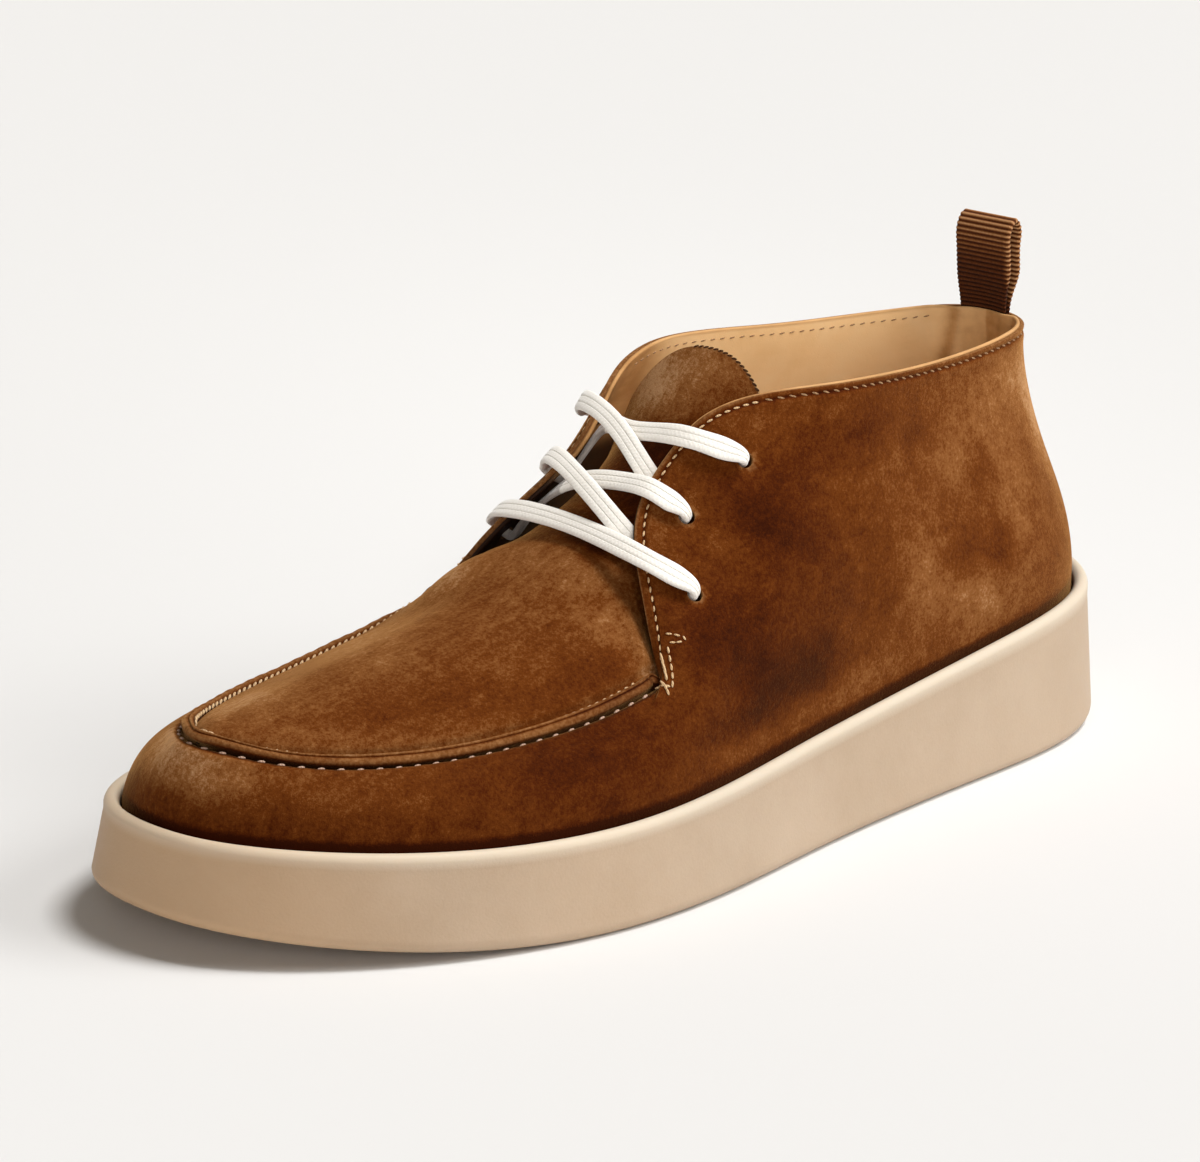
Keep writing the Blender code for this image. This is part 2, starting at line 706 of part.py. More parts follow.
main()
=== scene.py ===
"""Looks of a left chukka boot with a moccasin toe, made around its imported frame.

Tables and sizes are in millimetres, and MM turns them into metres where a mesh is made. The toe points to
-Y, the outer side is +X and the sole stands on Z = 0.
"""
import math

import bmesh
import bpy
import numpy as np
from mathutils import Matrix, Vector
from mathutils.bvhtree import BVHTree
from mathutils.kdtree import KDTree


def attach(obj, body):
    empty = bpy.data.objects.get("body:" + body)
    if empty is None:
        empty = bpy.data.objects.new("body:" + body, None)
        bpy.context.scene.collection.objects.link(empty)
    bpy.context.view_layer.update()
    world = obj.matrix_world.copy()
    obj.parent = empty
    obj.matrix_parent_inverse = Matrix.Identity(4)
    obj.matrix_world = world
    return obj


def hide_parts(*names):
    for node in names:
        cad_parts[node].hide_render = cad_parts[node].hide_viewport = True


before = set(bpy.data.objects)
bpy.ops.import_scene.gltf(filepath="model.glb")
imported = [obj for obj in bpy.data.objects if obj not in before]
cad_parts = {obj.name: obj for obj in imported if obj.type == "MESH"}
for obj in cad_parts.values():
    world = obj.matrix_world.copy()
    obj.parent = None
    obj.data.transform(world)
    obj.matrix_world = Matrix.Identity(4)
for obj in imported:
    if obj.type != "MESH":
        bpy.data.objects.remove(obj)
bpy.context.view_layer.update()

MM = 0.001

# ---------------------------------------------------------------- sizes shared with the frame
SOLE_LENGTH = 300.0
GAP = 0.3
TOE_SPRING = 9.0
HEEL_LIFT = 2.6
WAIST_HOLLOW = 1.5
WALL_FLARE = 2.8
LIP = 3.4
EYELET_RADIUS = 2.3
HOLE_RADIUS = 1.95      # punched, with the lace in it
FACING_TOP = 15.0
LACE_WIDTH = 5.7
LACE_THICKNESS = 1.8
WALL = 2.0              # suede and lining together

SOLE_OUTLINE = (
    # share  lateral medial
    (0.02, 18.3, -19.5),
    (0.06, 30.6, -31.5),
    (0.13, 39.0, -39.5),
    (0.22, 42.6, -41.0),
    (0.34, 46.0, -39.5),
    (0.46, 51.0, -41.0),
    (0.58, 57.2, -47.0),
    (0.68, 58.8, -52.3),
    (0.76, 55.4, -54.0),
    (0.84, 47.4, -51.3),
    (0.91, 35.7, -43.8),
    (0.96, 22.7, -34.3),
    (0.99, 9.0, -22.5),
)
HEEL_CENTRE = (-1.0, 0.0)
TOE_TIP = (-8.0, 1.0)

SOLE_SECTIONS = (
    # share floor  rim
    (0.00, 22.0, 37.5),
    (0.12, 21.5, 35.2),
    (0.25, 19.0, 31.6),
    (0.40, 15.5, 27.8),
    (0.50, 13.5, 26.0),
    (0.65, 11.5, 24.0),
    (0.80, 12.0, 24.2),
    (0.92, 15.5, 26.4),
    (1.00, 18.5, 28.4),
)
CENTRE_LINE = (
    # y      x
    (150.0, -3.0),
    (0.0, -3.0),
    (-60.0, -4.0),
    (-150.0, -7.5),
)
QUARTER = (
    # base    y     half   z     low   high  tilt
    (0.000, 125.9,  0.0, 101.9,  5.0, -6.0,  0.0),
    (0.045, 122.0, 10.5, 101.8,  6.0, -6.0,  0.0),
    (0.100, 109.3, 17.6, 101.6,  7.0, -6.0,  0.0),
    (0.150,  91.0, 22.0, 101.7,  7.0, -4.5,  0.0),
    (0.210,  69.0, 25.6, 102.4,  6.5, -3.5,  0.0),
    (0.270,  49.0, 28.0, 103.8,  6.0, -1.0,  0.0),
    (0.320,  33.0, 27.6, 104.6,  6.0,  2.0,  0.0),
    (0.365,  20.0, 23.8, 104.5,  6.5,  7.0,  0.0),
    (0.400,  10.0, 19.6, 103.0,  7.5, 12.5,  0.0),
    (0.430,   2.0, 16.0,  99.2,  8.0, 17.0,  2.0),
    (0.460,  -5.0, 13.9,  92.5,  8.5, 19.5,  5.0),
    (0.488, -12.2, 14.0,  85.5,  8.5, 19.5,  8.0),
    (0.514, -18.6, 16.8,  79.0,  8.5, 17.5, 10.0),
    (0.540, -23.3, 21.9,  71.8,  8.0, 13.5, 12.0),
    (0.566, -26.6, 28.0,  63.5,  7.0,  9.5, 13.0),
    (0.592, -29.2, 33.8,  55.0,  6.0,  6.0, 12.0),
    (0.620, -31.0, 39.0,  47.8,  5.5,  4.0, 10.0),
)
TOE_WALL = (
    # base    y     half   z     low   high  tilt
    (0.620, -31.0, 39.0,  47.8,  5.5,  4.0, 10.0),
    (0.675, -47.0, 38.6,  44.3,  5.5,  5.3, 30.0),
    (0.725, -62.0, 37.3,  42.2,  5.5,  6.0, 42.0),
    (0.780, -79.0, 34.6,  40.8,  5.5,  6.0, 45.0),
    (0.830, -95.0, 30.6,  40.4,  5.5,  6.0, 45.0),
    (0.885, -111.0, 24.0,  41.0,  5.0,  5.5, 44.0),
    (0.935, -123.5, 15.6,  42.8,  4.5,  5.0, 42.0),
    (0.970, -130.5,  7.8,  44.6,  4.0,  4.5, 40.0),
    (1.000, -133.5,  0.0,  45.4,  4.0,  4.5, 40.0),
)
INSTEP = (
    # y      z
    (-136.0, 45.4),
    (-120.0, 48.8),
    (-100.0, 51.8),
    (-80.0, 54.8),
    (-60.0, 58.8),
    (-45.0, 63.3),
    (-32.0, 68.6),
    (-22.0, 73.0),
)
TONGUE = (
    # x     y      z    half  back  drop  turn
    (-3.2, -22.0,  72.6, 33.0, -2.0, 24.0, 0.0),
    (-3.0, -11.0,  78.2, 30.0,  3.0, 22.0, 0.0),
    (-2.5,   0.0,  87.3, 25.5,  7.0, 18.0, 1.0),
    (-1.8,   9.0,  98.5, 21.5,  5.0, 13.0, 3.0),
    (-0.8,  18.3, 110.7, 18.6,  1.0, 10.5, 4.5),
)
TONGUE_ROUND = 0.10
EYELETS = (
    # y     z
    (-16.0, 65.0),
    (-8.8, 79.6),
    (7.7, 90.6),
)
LACE_OVER = (71.8, 84.6, 95.6)
LACE_UNDER = (
    # +X    -X
    (75.3, 82.5),
    (87.0, 97.0),
)
LACE_SLACK = (0.4, 1.8, 3.0)
LACE_RUNS = (
    # x      y      z
    ((6.0, -23.4, 74.9), (-13.0, -24.7, 76.2)),
    ((7.0, -21.5, 80.2), (-2.0, -19.8, 83.6), (-9.0, -17.9, 85.7)),
    ((6.0, -12.0, 84.5), (-1.0, -13.7, 84.6), (-8.5, -15.4, 83.3)),
    ((4.5, -9.7, 90.4), (-5.0, -6.4, 94.9), (-11.0, -5.3, 97.4)),
    ((5.0, -2.5, 94.9), (-2.0, -4.7, 94.2), (-8.5, -3.8, 92.4)),
)


# ---------------------------------------------------------------- curves
def smooth_curve(knots, rows):
    """A natural cubic spline through the rows, as a function of an array of positions among the knots."""
    knots = np.asarray(knots, float)
    rows = np.asarray(rows, float).reshape(len(knots), -1)
    step = np.diff(knots)
    slope = np.diff(rows, axis=0) / step[:, None]
    system = np.eye(len(knots)) * 2
    right = np.empty_like(rows)
    system[0, 1] = system[-1, -2] = 1
    right[0], right[-1] = 3 * slope[0], 3 * slope[-1]
    for k in range(1, len(knots) - 1):
        system[k, k - 1 : k + 2] = step[k], 2 * (step[k - 1] + step[k]), step[k - 1]
        right[k] = 3 * (step[k] * slope[k - 1] + step[k - 1] * slope[k])
    tangent = np.linalg.solve(system, right)

    def at(position):
        position = np.atleast_1d(np.asarray(position, float))
        k = np.clip(np.searchsorted(knots, position) - 1, 0, len(step) - 1)
        t = ((position - knots[k]) / step[k])[:, None]
        width = step[k][:, None]
        start = rows[k] * (2 * t**3 - 3 * t**2 + 1) + tangent[k] * width * (t**3 - 2 * t**2 + t)
        end = rows[k + 1] * (3 * t**2 - 2 * t**3) + tangent[k + 1] * width * (t**3 - t**2)
        return start + end

    return at


def column_curve(table):
    """A smooth function of a table's first column that gives its other columns."""
    table = np.array(table)
    order = np.argsort(table[:, 0])
    return smooth_curve(table[order, 0], table[order, 1:])


def closed_outline():
    """The sole's widest outline by way: 0 at the heel, up to 1 at the toe along +X, and to 2 back along -X."""
    lateral = [(row[1], row[0]) for row in SOLE_OUTLINE]
    medial = [(row[2], row[0]) for row in SOLE_OUTLINE[::-1]]
    loop = np.array([HEEL_CENTRE, *lateral, TOE_TIP, *medial, HEEL_CENTRE])
    points = np.column_stack([loop[:, 0], SOLE_LENGTH * (0.5 - loop[:, 1])])
    run = running_length(points)
    toe = len(lateral) + 1
    way = np.where(run <= run[toe], run / run[toe], 1 + (run - run[toe]) / (run[-1] - run[toe]))
    wrapped = np.concatenate([way[-4:-1] - 2, way, way[1:4] + 2])
    curve = smooth_curve(wrapped, np.concatenate([points[-4:-1], points, points[1:4]]))
    samples = curve(np.linspace(0, 2, 800))
    middle = (samples.max(axis=0) + samples.min(axis=0)) / 2
    return lambda position: curve(np.mod(position, 2)) - middle


def running_length(points):
    """How far along a line of points each one lies."""
    return np.concatenate([[0], np.cumsum(np.linalg.norm(np.diff(points, axis=0), axis=1))])


def read_along(run, rows, at):
    """The rows' values at places along their running length."""
    return np.column_stack([np.interp(at, run, values) for values in rows.T])


def unit(vectors):
    """Vectors of length one along the last axis."""
    length = np.linalg.norm(vectors, axis=-1, keepdims=True)
    return vectors / np.maximum(length, 1e-9)


def bell(distance, width):
    """1 at distance 0 and close to 0 beyond twice the width."""
    return np.exp(-((distance / width) ** 2))


def ease(value, low, high):
    """0 below low, 1 above high and a soft step between."""
    t = np.clip((value - low) / (high - low), 0, 1)
    return t * t * (3 - 2 * t)


outline = closed_outline()
sole_heights = column_curve(SOLE_SECTIONS)
centre_x = column_curve(CENTRE_LINE)


def share_of(y):
    return np.clip(0.5 - y / SOLE_LENGTH, 0, 1)


def tread_height(y):
    share = share_of(y)
    toe = TOE_SPRING * np.clip((share - 0.70) / 0.30, 0, None) ** 2
    heel = HEEL_LIFT * np.clip((0.12 - share) / 0.12, 0, None) ** 2
    return toe + heel


def floor_height(y):
    return sole_heights(share_of(y))[:, 0]


def rim_height(y):
    return sole_heights(share_of(y))[:, 1]


def inset_outline(way, inset):
    """Plan points on the outline moved in by inset, and the outward normals there."""
    here = outline(way)
    ahead = outline(way + 0.002) - outline(way - 0.002)
    normal = np.column_stack([-ahead[:, 1], ahead[:, 0]])
    normal /= np.linalg.norm(normal, axis=1)[:, None]
    return here - normal * inset, normal


# ---------------------------------------------------------------- meshes
def placed(name, data):
    """A new object in the scene."""
    made = bpy.data.objects.new(name, data)
    bpy.context.scene.collection.objects.link(made)
    return made


def mesh_of(bm):
    """The finished mesh of a bmesh, which is freed."""
    mesh = bpy.data.meshes.new("blank")
    bm.to_mesh(mesh)
    bm.free()
    return mesh


def vertex_places(mesh):
    flat = np.empty(len(mesh.vertices) * 3)
    mesh.vertices.foreach_get("co", flat)
    return flat.reshape(-1, 3)


def grid_mesh(points, along=None, **marks):
    """A mesh over a grid of points, rows by columns. Ends and edges that meet are merged.

    along gives each point its place on the piece's own map, and marks are named values at each point.
    """
    rows, columns = points.shape[:2]
    bm = bmesh.new()
    bmesh.ops.create_grid(bm, x_segments=columns - 1, y_segments=rows - 1, size=1)
    mesh = mesh_of(bm)
    place = (vertex_places(mesh)[:, :2] + 1) / 2 * (columns - 1, rows - 1)
    column, row = np.rint(place).astype(int).T
    mesh.vertices.foreach_set("co", (points[row, column] * MM).ravel())
    for mark, values in marks.items():
        layer = mesh.attributes.new(mark, "FLOAT", "POINT")
        layer.data.foreach_set("value", np.broadcast_to(values, (rows, columns))[row, column].astype(np.float32))
    if along is not None:
        corner = np.empty(len(mesh.loops), int)
        mesh.loops.foreach_get("vertex_index", corner)
        layer = mesh.uv_layers.new(name="along")
        layer.data.foreach_set("uv", along[row[corner], column[corner]].astype(np.float32).ravel())
    return merged([mesh], 1e-6)


def merged(meshes, distance=2e-6):
    """One mesh made of several, with the points that meet merged and its faces turned outwards."""
    bm = bmesh.new()
    for mesh in meshes:
        bm.from_mesh(mesh)
        bpy.data.meshes.remove(mesh)
    bmesh.ops.remove_doubles(bm, verts=bm.verts, dist=distance)
    bmesh.ops.dissolve_degenerate(bm, edges=bm.edges, dist=1e-7)
    bmesh.ops.recalc_face_normals(bm, faces=bm.faces)
    return mesh_of(bm)


def piece(name, mesh, finish, slot, *nodes, sharp=40):
    """Puts a finished mesh on the boot. It stands for the nodes."""
    made = placed(name, mesh)
    mesh.name = name
    mesh.materials.clear()
    mesh.materials.append(finish)
    mesh.shade_smooth()
    mesh.set_sharp_from_angle(angle=math.radians(sharp))
    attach(made, "root")
    if nodes:
        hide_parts(*nodes)
    return made


def grid_normals(points, around=False):
    """The directions square to a grid of points."""
    if around:
        ring = np.concatenate([points[:, -3:-1], points, points[:, 1:3]], axis=1)
        across = np.gradient(ring, axis=1)[:, 2:-2]
    else:
        across = np.gradient(points, axis=1)
    return unit(np.cross(across, np.gradient(points, axis=0)))


# ---------------------------------------------------------------- the upper's outer face
QUARTER_COLUMNS = 250
TOE_COLUMNS = 150
EDGE_ROWS = (0.0, 0.1, 0.25, 0.45, 0.7, 1.0, 1.35, 1.7, 2.05, 2.4, 2.8, 3.2, 3.7, 4.3, 5.0, 5.8, 6.8, 8.0)
LOWER_ROWS = 41
CORNER_SOFTENING = 14.0      # how far the corner's crease fades into the wall below
SMOOTHING = 260              # passes, for that crease and for the lace
RIM_TUCK = 1.0               # how far the wall goes below the sole's rim


def stations(table, count, crowd=1.0):
    """The table's columns at count places along its free edge, more crowded towards its last row above 1."""
    rows = np.array(table)
    if rows[0, 2] == 0:
        rows = np.vstack([rows[1] * (-1, 1, -1, 1, 1, 1, 1), rows])
    if rows[-1, 2] == 0:
        rows = np.vstack([rows, rows[-2] * (-1, 1, -1, 1, 1, 1, 1) + (2, 0, 0, 0, 0, 0, 0)])
    run = running_length(rows[:, 1:4])
    first = run[len(rows) - len(table)] if table[0][2] == 0 else 0
    last = run[-2] if table[-1][2] == 0 else run[-1]
    places = last - (last - first) * (1 - np.linspace(0, 1, count)) ** crowd
    return smooth_curve(run, rows)(places)


def wall_sections(columns, side, samples=70):
    """Sections of the outer face from the free edge down to the sole's rim, and the feet below them."""
    base, y, half, z, low, high, tilt = columns.T
    way = base if side > 0 else 2 - base
    plan, normal = inset_outline(way, WALL_FLARE + LIP + GAP + 0.2)
    rim = np.column_stack([plan, rim_height(plan[:, 1]) - RIM_TUCK])
    foot = np.column_stack([plan, floor_height(plan[:, 1]) + GAP])
    edge = np.column_stack([centre_x(y)[:, 0] + side * half, y, z])
    lean = np.radians(tilt)[:, None]
    push = np.hstack([normal * np.cos(lean), np.sin(lean)])
    first = rim + (edge - rim) / 3 + push * low[:, None]
    second = rim + (edge - rim) * 2 / 3 + push * high[:, None]
    t = np.linspace(1, 0, samples)[:, None, None]
    sections = rim * (1 - t) ** 3 + first * 3 * t * (1 - t) ** 2 + second * 3 * t**2 * (1 - t) + edge * t**3
    return sections, foot


def outer_grid():
    """The outer face: rows from the free edge down, columns once round from the heel along +X, and each
    point's distance below the edge."""
    columns = np.vstack([stations(QUARTER, QUARTER_COLUMNS), stations(TOE_WALL, TOE_COLUMNS, 1.2)[1:]])
    sides = []
    for side in (1, -1):
        sections, foot = wall_sections(columns, side)
        rest = np.linspace(0, 1, LOWER_ROWS + 1)[1:]
        grid = np.empty((len(EDGE_ROWS) + LOWER_ROWS, len(columns), 3))
        depth = np.empty(grid.shape[:2])
        for k in range(len(columns)):
            run = running_length(sections[:, k])
            depth[:, k] = [*EDGE_ROWS, *(EDGE_ROWS[-1] + rest * (run[-1] - EDGE_ROWS[-1]))]
            grid[:, k] = read_along(run, sections[:, k], depth[:, k])
        feet = np.stack([grid[-1] + (foot - grid[-1]) * share for share in (0.35, 1.0)])
        depth = np.vstack([depth, depth[-1] + 3, depth[-1] + 8])
        sides.append((np.concatenate([grid, feet]), depth))
    grid = np.concatenate([sides[0][0], sides[1][0][:, -2::-1]], axis=1)
    depth = np.concatenate([sides[0][1], sides[1][1][:, -2::-1]], axis=1)
    return soften_corners(grid, depth), depth


def soften_corners(grid, depth):
    """Fades the crease below each facing's corner into the wall, with the free edge kept sharp."""
    count = grid.shape[1]
    for corner in (QUARTER_COLUMNS - 1, count - QUARTER_COLUMNS):
        edge = running_length(grid[0])
        near = bell(edge - edge[corner], CORNER_SOFTENING)
        weight = (ease(depth, 1.5, 11) * near)[:, :, None] * 0.5
        for _ in range(SMOOTHING):
            middle = (np.roll(grid, 1, axis=1) + np.roll(grid, -1, axis=1)) / 2
            middle[:, (0, -1)] = grid[:, (0, -1)]
            grid = grid + (middle - grid) * weight
    return grid


# ---------------------------------------------------------------- shaping
def along_line(points, start, end):
    """Each point's distance from a straight line between two places, and how far along it lies, 0 to 1."""
    start, end = np.array(start, float), np.array(end, float)
    share = np.clip((points - start) @ (end - start) / ((end - start) @ (end - start)), 0, 1)
    return np.linalg.norm(points - start - share[..., None] * (end - start), axis=-1), share


def creases(points, lines):
    """How far the surface rises (+) or sinks (-) along soft troughs and ridges that fade at their ends."""
    rise = np.zeros(points.shape[:-1])
    for start, end, width, height in lines:
        distance, share = along_line(points, start, end)
        rise += height * bell(distance, width) * (0.35 + 0.65 * np.sin(np.pi * share))
    return rise


def uneven(points, size, height):
    """Slow waves of the kind that hand lasting leaves in leather."""
    x, y, z = np.moveaxis(points / size, -1, 0)
    waves = np.sin(1.7 * x + 2.3 * y + 0.9 * z + 0.5) + np.sin(-2.6 * x + 1.1 * y + 1.9 * z + 2.1)
    waves += 0.7 * np.sin(3.1 * x - 2.2 * y + 3.4 * z + 4.0) + 0.5 * np.sin(1.2 * x + 4.3 * y - 2.7 * z + 1.3)
    return waves * height / 3


def nap_and_shade_patches(points, patches):
    """Light (+) and dark (-) patches, partly the suede's own tone and partly painted light and shade: a place, how
    wide across and high it is, and how strong.
    """
    tone = np.zeros(points.shape[:-1])
    for x, y, z, wide, high, strength in patches:
        offset = (points - (x, y, z)) / (wide, wide, high)
        tone += strength * np.exp(-(offset**2).sum(axis=-1))
    return tone


UPPER_CREASES = (
    # start              end                width height
    ((42, -18, 40), (45, -2, 52), 4.0, -0.5),
    ((45, -30, 33), (48, -6, 36), 5.0, -0.45),
    ((-42, -20, 40), (-41, -2, 52), 4.0, -0.5),
    ((-42, -30, 33), (-42, -6, 36), 5.0, -0.45),
    ((32, 60, 78), (36, 96, 62), 8.0, -0.7),
    ((37, 70, 52), (30, 112, 48), 7.0, 0.5),
    ((-32, 60, 78), (-36, 96, 62), 8.0, -0.7),
    ((-37, 70, 52), (-30, 112, 48), 7.0, 0.5),
    ((39, 40, 50), (40, 66, 40), 6.0, -0.4),
    ((-38, 40, 50), (-37, 66, 40), 6.0, -0.4),
)
# patches in the suede's tone: partly its own light and dark, partly painted light and shade, such as the dark low
# down by the sole and the light at the back of the heel
UPPER_NAP_AND_SHADE = (
    # x   y    z   wide high strength
    (-10, -141, 32, 16, 6, -0.30),
    (10, -135, 30, 16, 6, -0.25),
    (28, -116, 29, 22, 5, -0.25),
    (38, -92, 31, 20, 7, -0.15),
    (41, -66, 38, 14, 6, -0.35),
    (44, -45, 34, 16, 8, -0.35),
    (46, -24, 30, 12, 7, -0.30),
    (28, 8, 80, 13, 8, -0.45),
    (30, -6, 74, 10, 6, -0.25),
    (29, -4, 75, 5, 5, 0.45),
    (32, 16, 72, 12, 7, -0.35),
    (38, -12, 54, 12, 7, -0.40),
    (42, 0, 40, 16, 9, -0.50),
    (39, 16, 46, 14, 8, -0.30),
    (26, 72, 79, 7, 7, 0.15),
    (33, 76, 56, 8, 7, -0.35),
    (40, -6, 46, 20, 12, -0.40),
    (42, -50, 44, 14, 4, -0.40),
    (12, 121, 84, 9, 18, 0.95),
    (30, 20, 88, 18, 5, -0.30),
    (27, 62, 88, 5, 6, -0.30),
    (28, 88, 76, 6, 8, -0.70),
    (32, 91, 55, 7, 7, -0.62),
    (34, 70, 47, 9, 6, 0.30),
    (34, 42, 68, 8, 8, -0.20),
    (37, -3, 62, 8, 8, -0.30),
    (36, -20, 57, 6, 7, -0.25),
    (37, 15, 60, 16, 26, -0.24),
    (38, -72, 38, 30, 9, -0.20),
    (-28, -137, 36, 7, 7, -0.60),
    (2, -138, 37, 9, 6, 0.30),
    (24, 104, 72, 12, 14, 0.15),
    (12, 124, 55, 9, 16, 0.50),
    (27, 45, 92, 16, 8, -0.12),
    (24, 88, 80, 14, 12, 0.40),
    (18, 106, 92, 12, 8, 0.38),
    (28, 98, 60, 8, 9, 0.35),
    (33, 86, 48, 12, 8, 0.45),
    (35, 60, 55, 9, 10, 0.35),
    (-17, -131, 44, 13, 6, 1.15),
    (6, -134, 42, 14, 5, 0.25),
    (-12, -139, 37, 8, 6, 0.35),
    (33, -14, 63, 9, 7, -0.32),
    (28, 4, 79, 9, 5, -0.25),
    (36, 26, 60, 8, 8, -0.20),
    (37, 42, 52, 8, 8, -0.28),
    (40, 18, 40, 9, 6, -0.30),
    (44, -14, 35, 10, 5, -0.30),
    (44, -60, 27, 14, 4, -0.38),
    (22, -127, 23, 34, 3, -0.30),
    (39, 6, 49, 8, 6, 0.20),
    (33, 82, 38, 9, 7, 0.28),
    (24, 25, 94, 8, 5, -0.25),
    (25, 43, 94, 8, 5, -0.22),
    (44, -14, 31, 18, 3, 0.45),
    (40, 24, 34, 18, 4, 0.45),
    (-34, 60, 84, 18, 10, 0.30),
    (-32, 96, 70, 14, 14, -0.30),
    (-40, -20, 50, 16, 9, -0.30),
    (-36, 40, 50, 22, 10, 0.25),
    (-42, -80, 34, 22, 8, -0.35),
)
STITCH_DEPTH = (1.7, 6.3)    # from the edge to its row of stitches, at the collar and at a facing's foot
COLLAR_PITCH = 3.1           # between the collar's stitches, outside and inside
SEAM_PITCH = 4.4             # between the hand stitches around the apron
FACING_FOOT = 54.5           # the height at which the facing's plain row ends
LINING_SEAM = ((-4.7, 125, 104), (-4.7, 124, 84))
LINING_FOLD = ((-15.5, 121, 101), (-17.5, 119, 84))
SUEDE = 1.05
LINING_START = 1.1
LINING = 1.0
PUNCH_LENGTH = 12.0


def side_seat(face, side, y, z):
    """The place on the outer face beside a point, and the direction away from the foot there."""
    point, normal, _, _ = face.ray_cast(Vector((side * SOLE_LENGTH, y, z)), Vector((-side, 0, 0)))
    return np.array(point), np.array(normal) * math.copysign(1, normal.x * side)


def eyelet_seats(grid):
    """The outer face to measure from, and the seats of its six eyelets."""
    at = np.arange(grid[..., 0].size).reshape(grid.shape[:2])
    quads = np.stack([at[:-1, :-1], at[:-1, 1:], at[1:, 1:], at[1:, :-1]], axis=-1)
    face = BVHTree.FromPolygons(grid.reshape(-1, 3).tolist(), quads.reshape(-1, 4).tolist())
    return face, [side_seat(face, side, y, z) for side in (1, -1) for y, z in EYELETS]


def wall_shell(outer, normals, depth, start, thick, rounding):
    """A wall under the outer face, closed at its foot, with its free edge rounded."""
    bend = rounding - np.sqrt(np.clip(rounding**2 - np.clip(rounding - depth, 0, None) ** 2, 0, None))
    near = outer - normals * (start + bend)[..., None]
    far = outer - normals * (start + thick - bend)[..., None]
    return np.concatenate([near[::-1], far, near[-1:]])


def both_faces(values):
    """The outer face's values for all of a wall_shell's rows."""
    return np.concatenate([values[::-1], values, values[-1:]])


def with_modifier(mesh, kind, **settings):
    """The mesh after one modifier."""
    blank = placed("blank", mesh)
    modifier = blank.modifiers.new("step", kind)
    for setting, value in settings.items():
        setattr(modifier, setting, value)
    graph = bpy.context.evaluated_depsgraph_get()
    done = bpy.data.meshes.new_from_object(blank.evaluated_get(graph))
    bpy.data.objects.remove(blank)
    bpy.data.meshes.remove(mesh)
    return done


def punched(mesh, seats):
    """The mesh with its six eyelet holes, their cut edges marked raw, and painted shade in them where the mesh has
    a shade mark.
    """
    bm = bmesh.new()
    for seat, away in seats:
        turn = Vector(away).to_track_quat("Z", "Y").to_matrix().to_4x4()
        bmesh.ops.create_cone(
            bm,
            cap_ends=True,
            segments=32,
            radius1=HOLE_RADIUS * MM,
            radius2=HOLE_RADIUS * MM,
            depth=PUNCH_LENGTH * MM,
            matrix=Matrix.Translation(Vector(seat) * MM) @ turn,
        )
    cutter = placed("punches", mesh_of(bm))
    mesh = with_modifier(mesh, "BOOLEAN", operation="DIFFERENCE", object=cutter)
    bpy.data.meshes.remove(cutter.data)
    places = vertex_places(mesh) / MM
    raw, shade = np.zeros((2, len(mesh.vertices)), np.float32)
    mesh.attributes["raw"].data.foreach_get("value", raw)
    for seat, away in seats:
        offset = places - seat
        above = offset @ away
        aside = np.linalg.norm(offset - above[:, None] * away, axis=1)
        raw[(aside < HOLE_RADIUS + 0.06) & (np.abs(above) < PUNCH_LENGTH / 2)] = 1
    mesh.attributes["raw"].data.foreach_set("value", raw)
    # painted shade in the lining's holes
    if "shade" in mesh.attributes:
        mesh.attributes["shade"].data.foreach_get("value", shade)
        mesh.attributes["shade"].data.foreach_set("value", np.maximum(shade, 1.8 * raw))
    return mesh


def stitch_depth(grid):
    """How far the row of stitches lies from the free edge at each column."""
    collar, foot = STITCH_DEPTH
    share = ease(grid[0, :, 2], 50, 92)
    return foot + (collar - foot) * share


def on_toe(grid):
    """True for the columns of the toe wall."""
    column = np.arange(grid.shape[1])
    return (column >= QUARTER_COLUMNS - 1) & (column <= grid.shape[1] - QUARTER_COLUMNS)


def shape_upper(grid, depth, seats):
    """The outer face with its seams, pulls and creases worked in."""
    normals = grid_normals(grid, around=True)
    edge = running_length(grid[0])
    rise = creases(grid, UPPER_CREASES) + uneven(grid, 17, 0.22)
    rise *= ease(depth, 2, 14)
    stitched = stitch_depth(grid)
    row = -0.32 * bell(depth - stitched, 0.55) + 0.12 * bell(depth - stitched - 1.5, 0.9)
    pucker = 1 + 0.35 * np.cos(2 * np.pi * edge / SEAM_PITCH)
    seam = -2.1 * bell(depth, 1.15) + 0.35 * bell(depth - 3.4, 1.5) * pucker
    rise += np.where(on_toe(grid), seam, row)
    rise += -0.35 * bell(np.abs(grid[..., 0] - centre_x(np.array([120.0]))[0, 0]), 0.9) * (grid[..., 1] > 100)
    for seat, _ in seats:
        rise += -0.55 * bell(np.linalg.norm(grid - seat, axis=-1), 3.4)
    return grid + normals * rise[..., None], normals


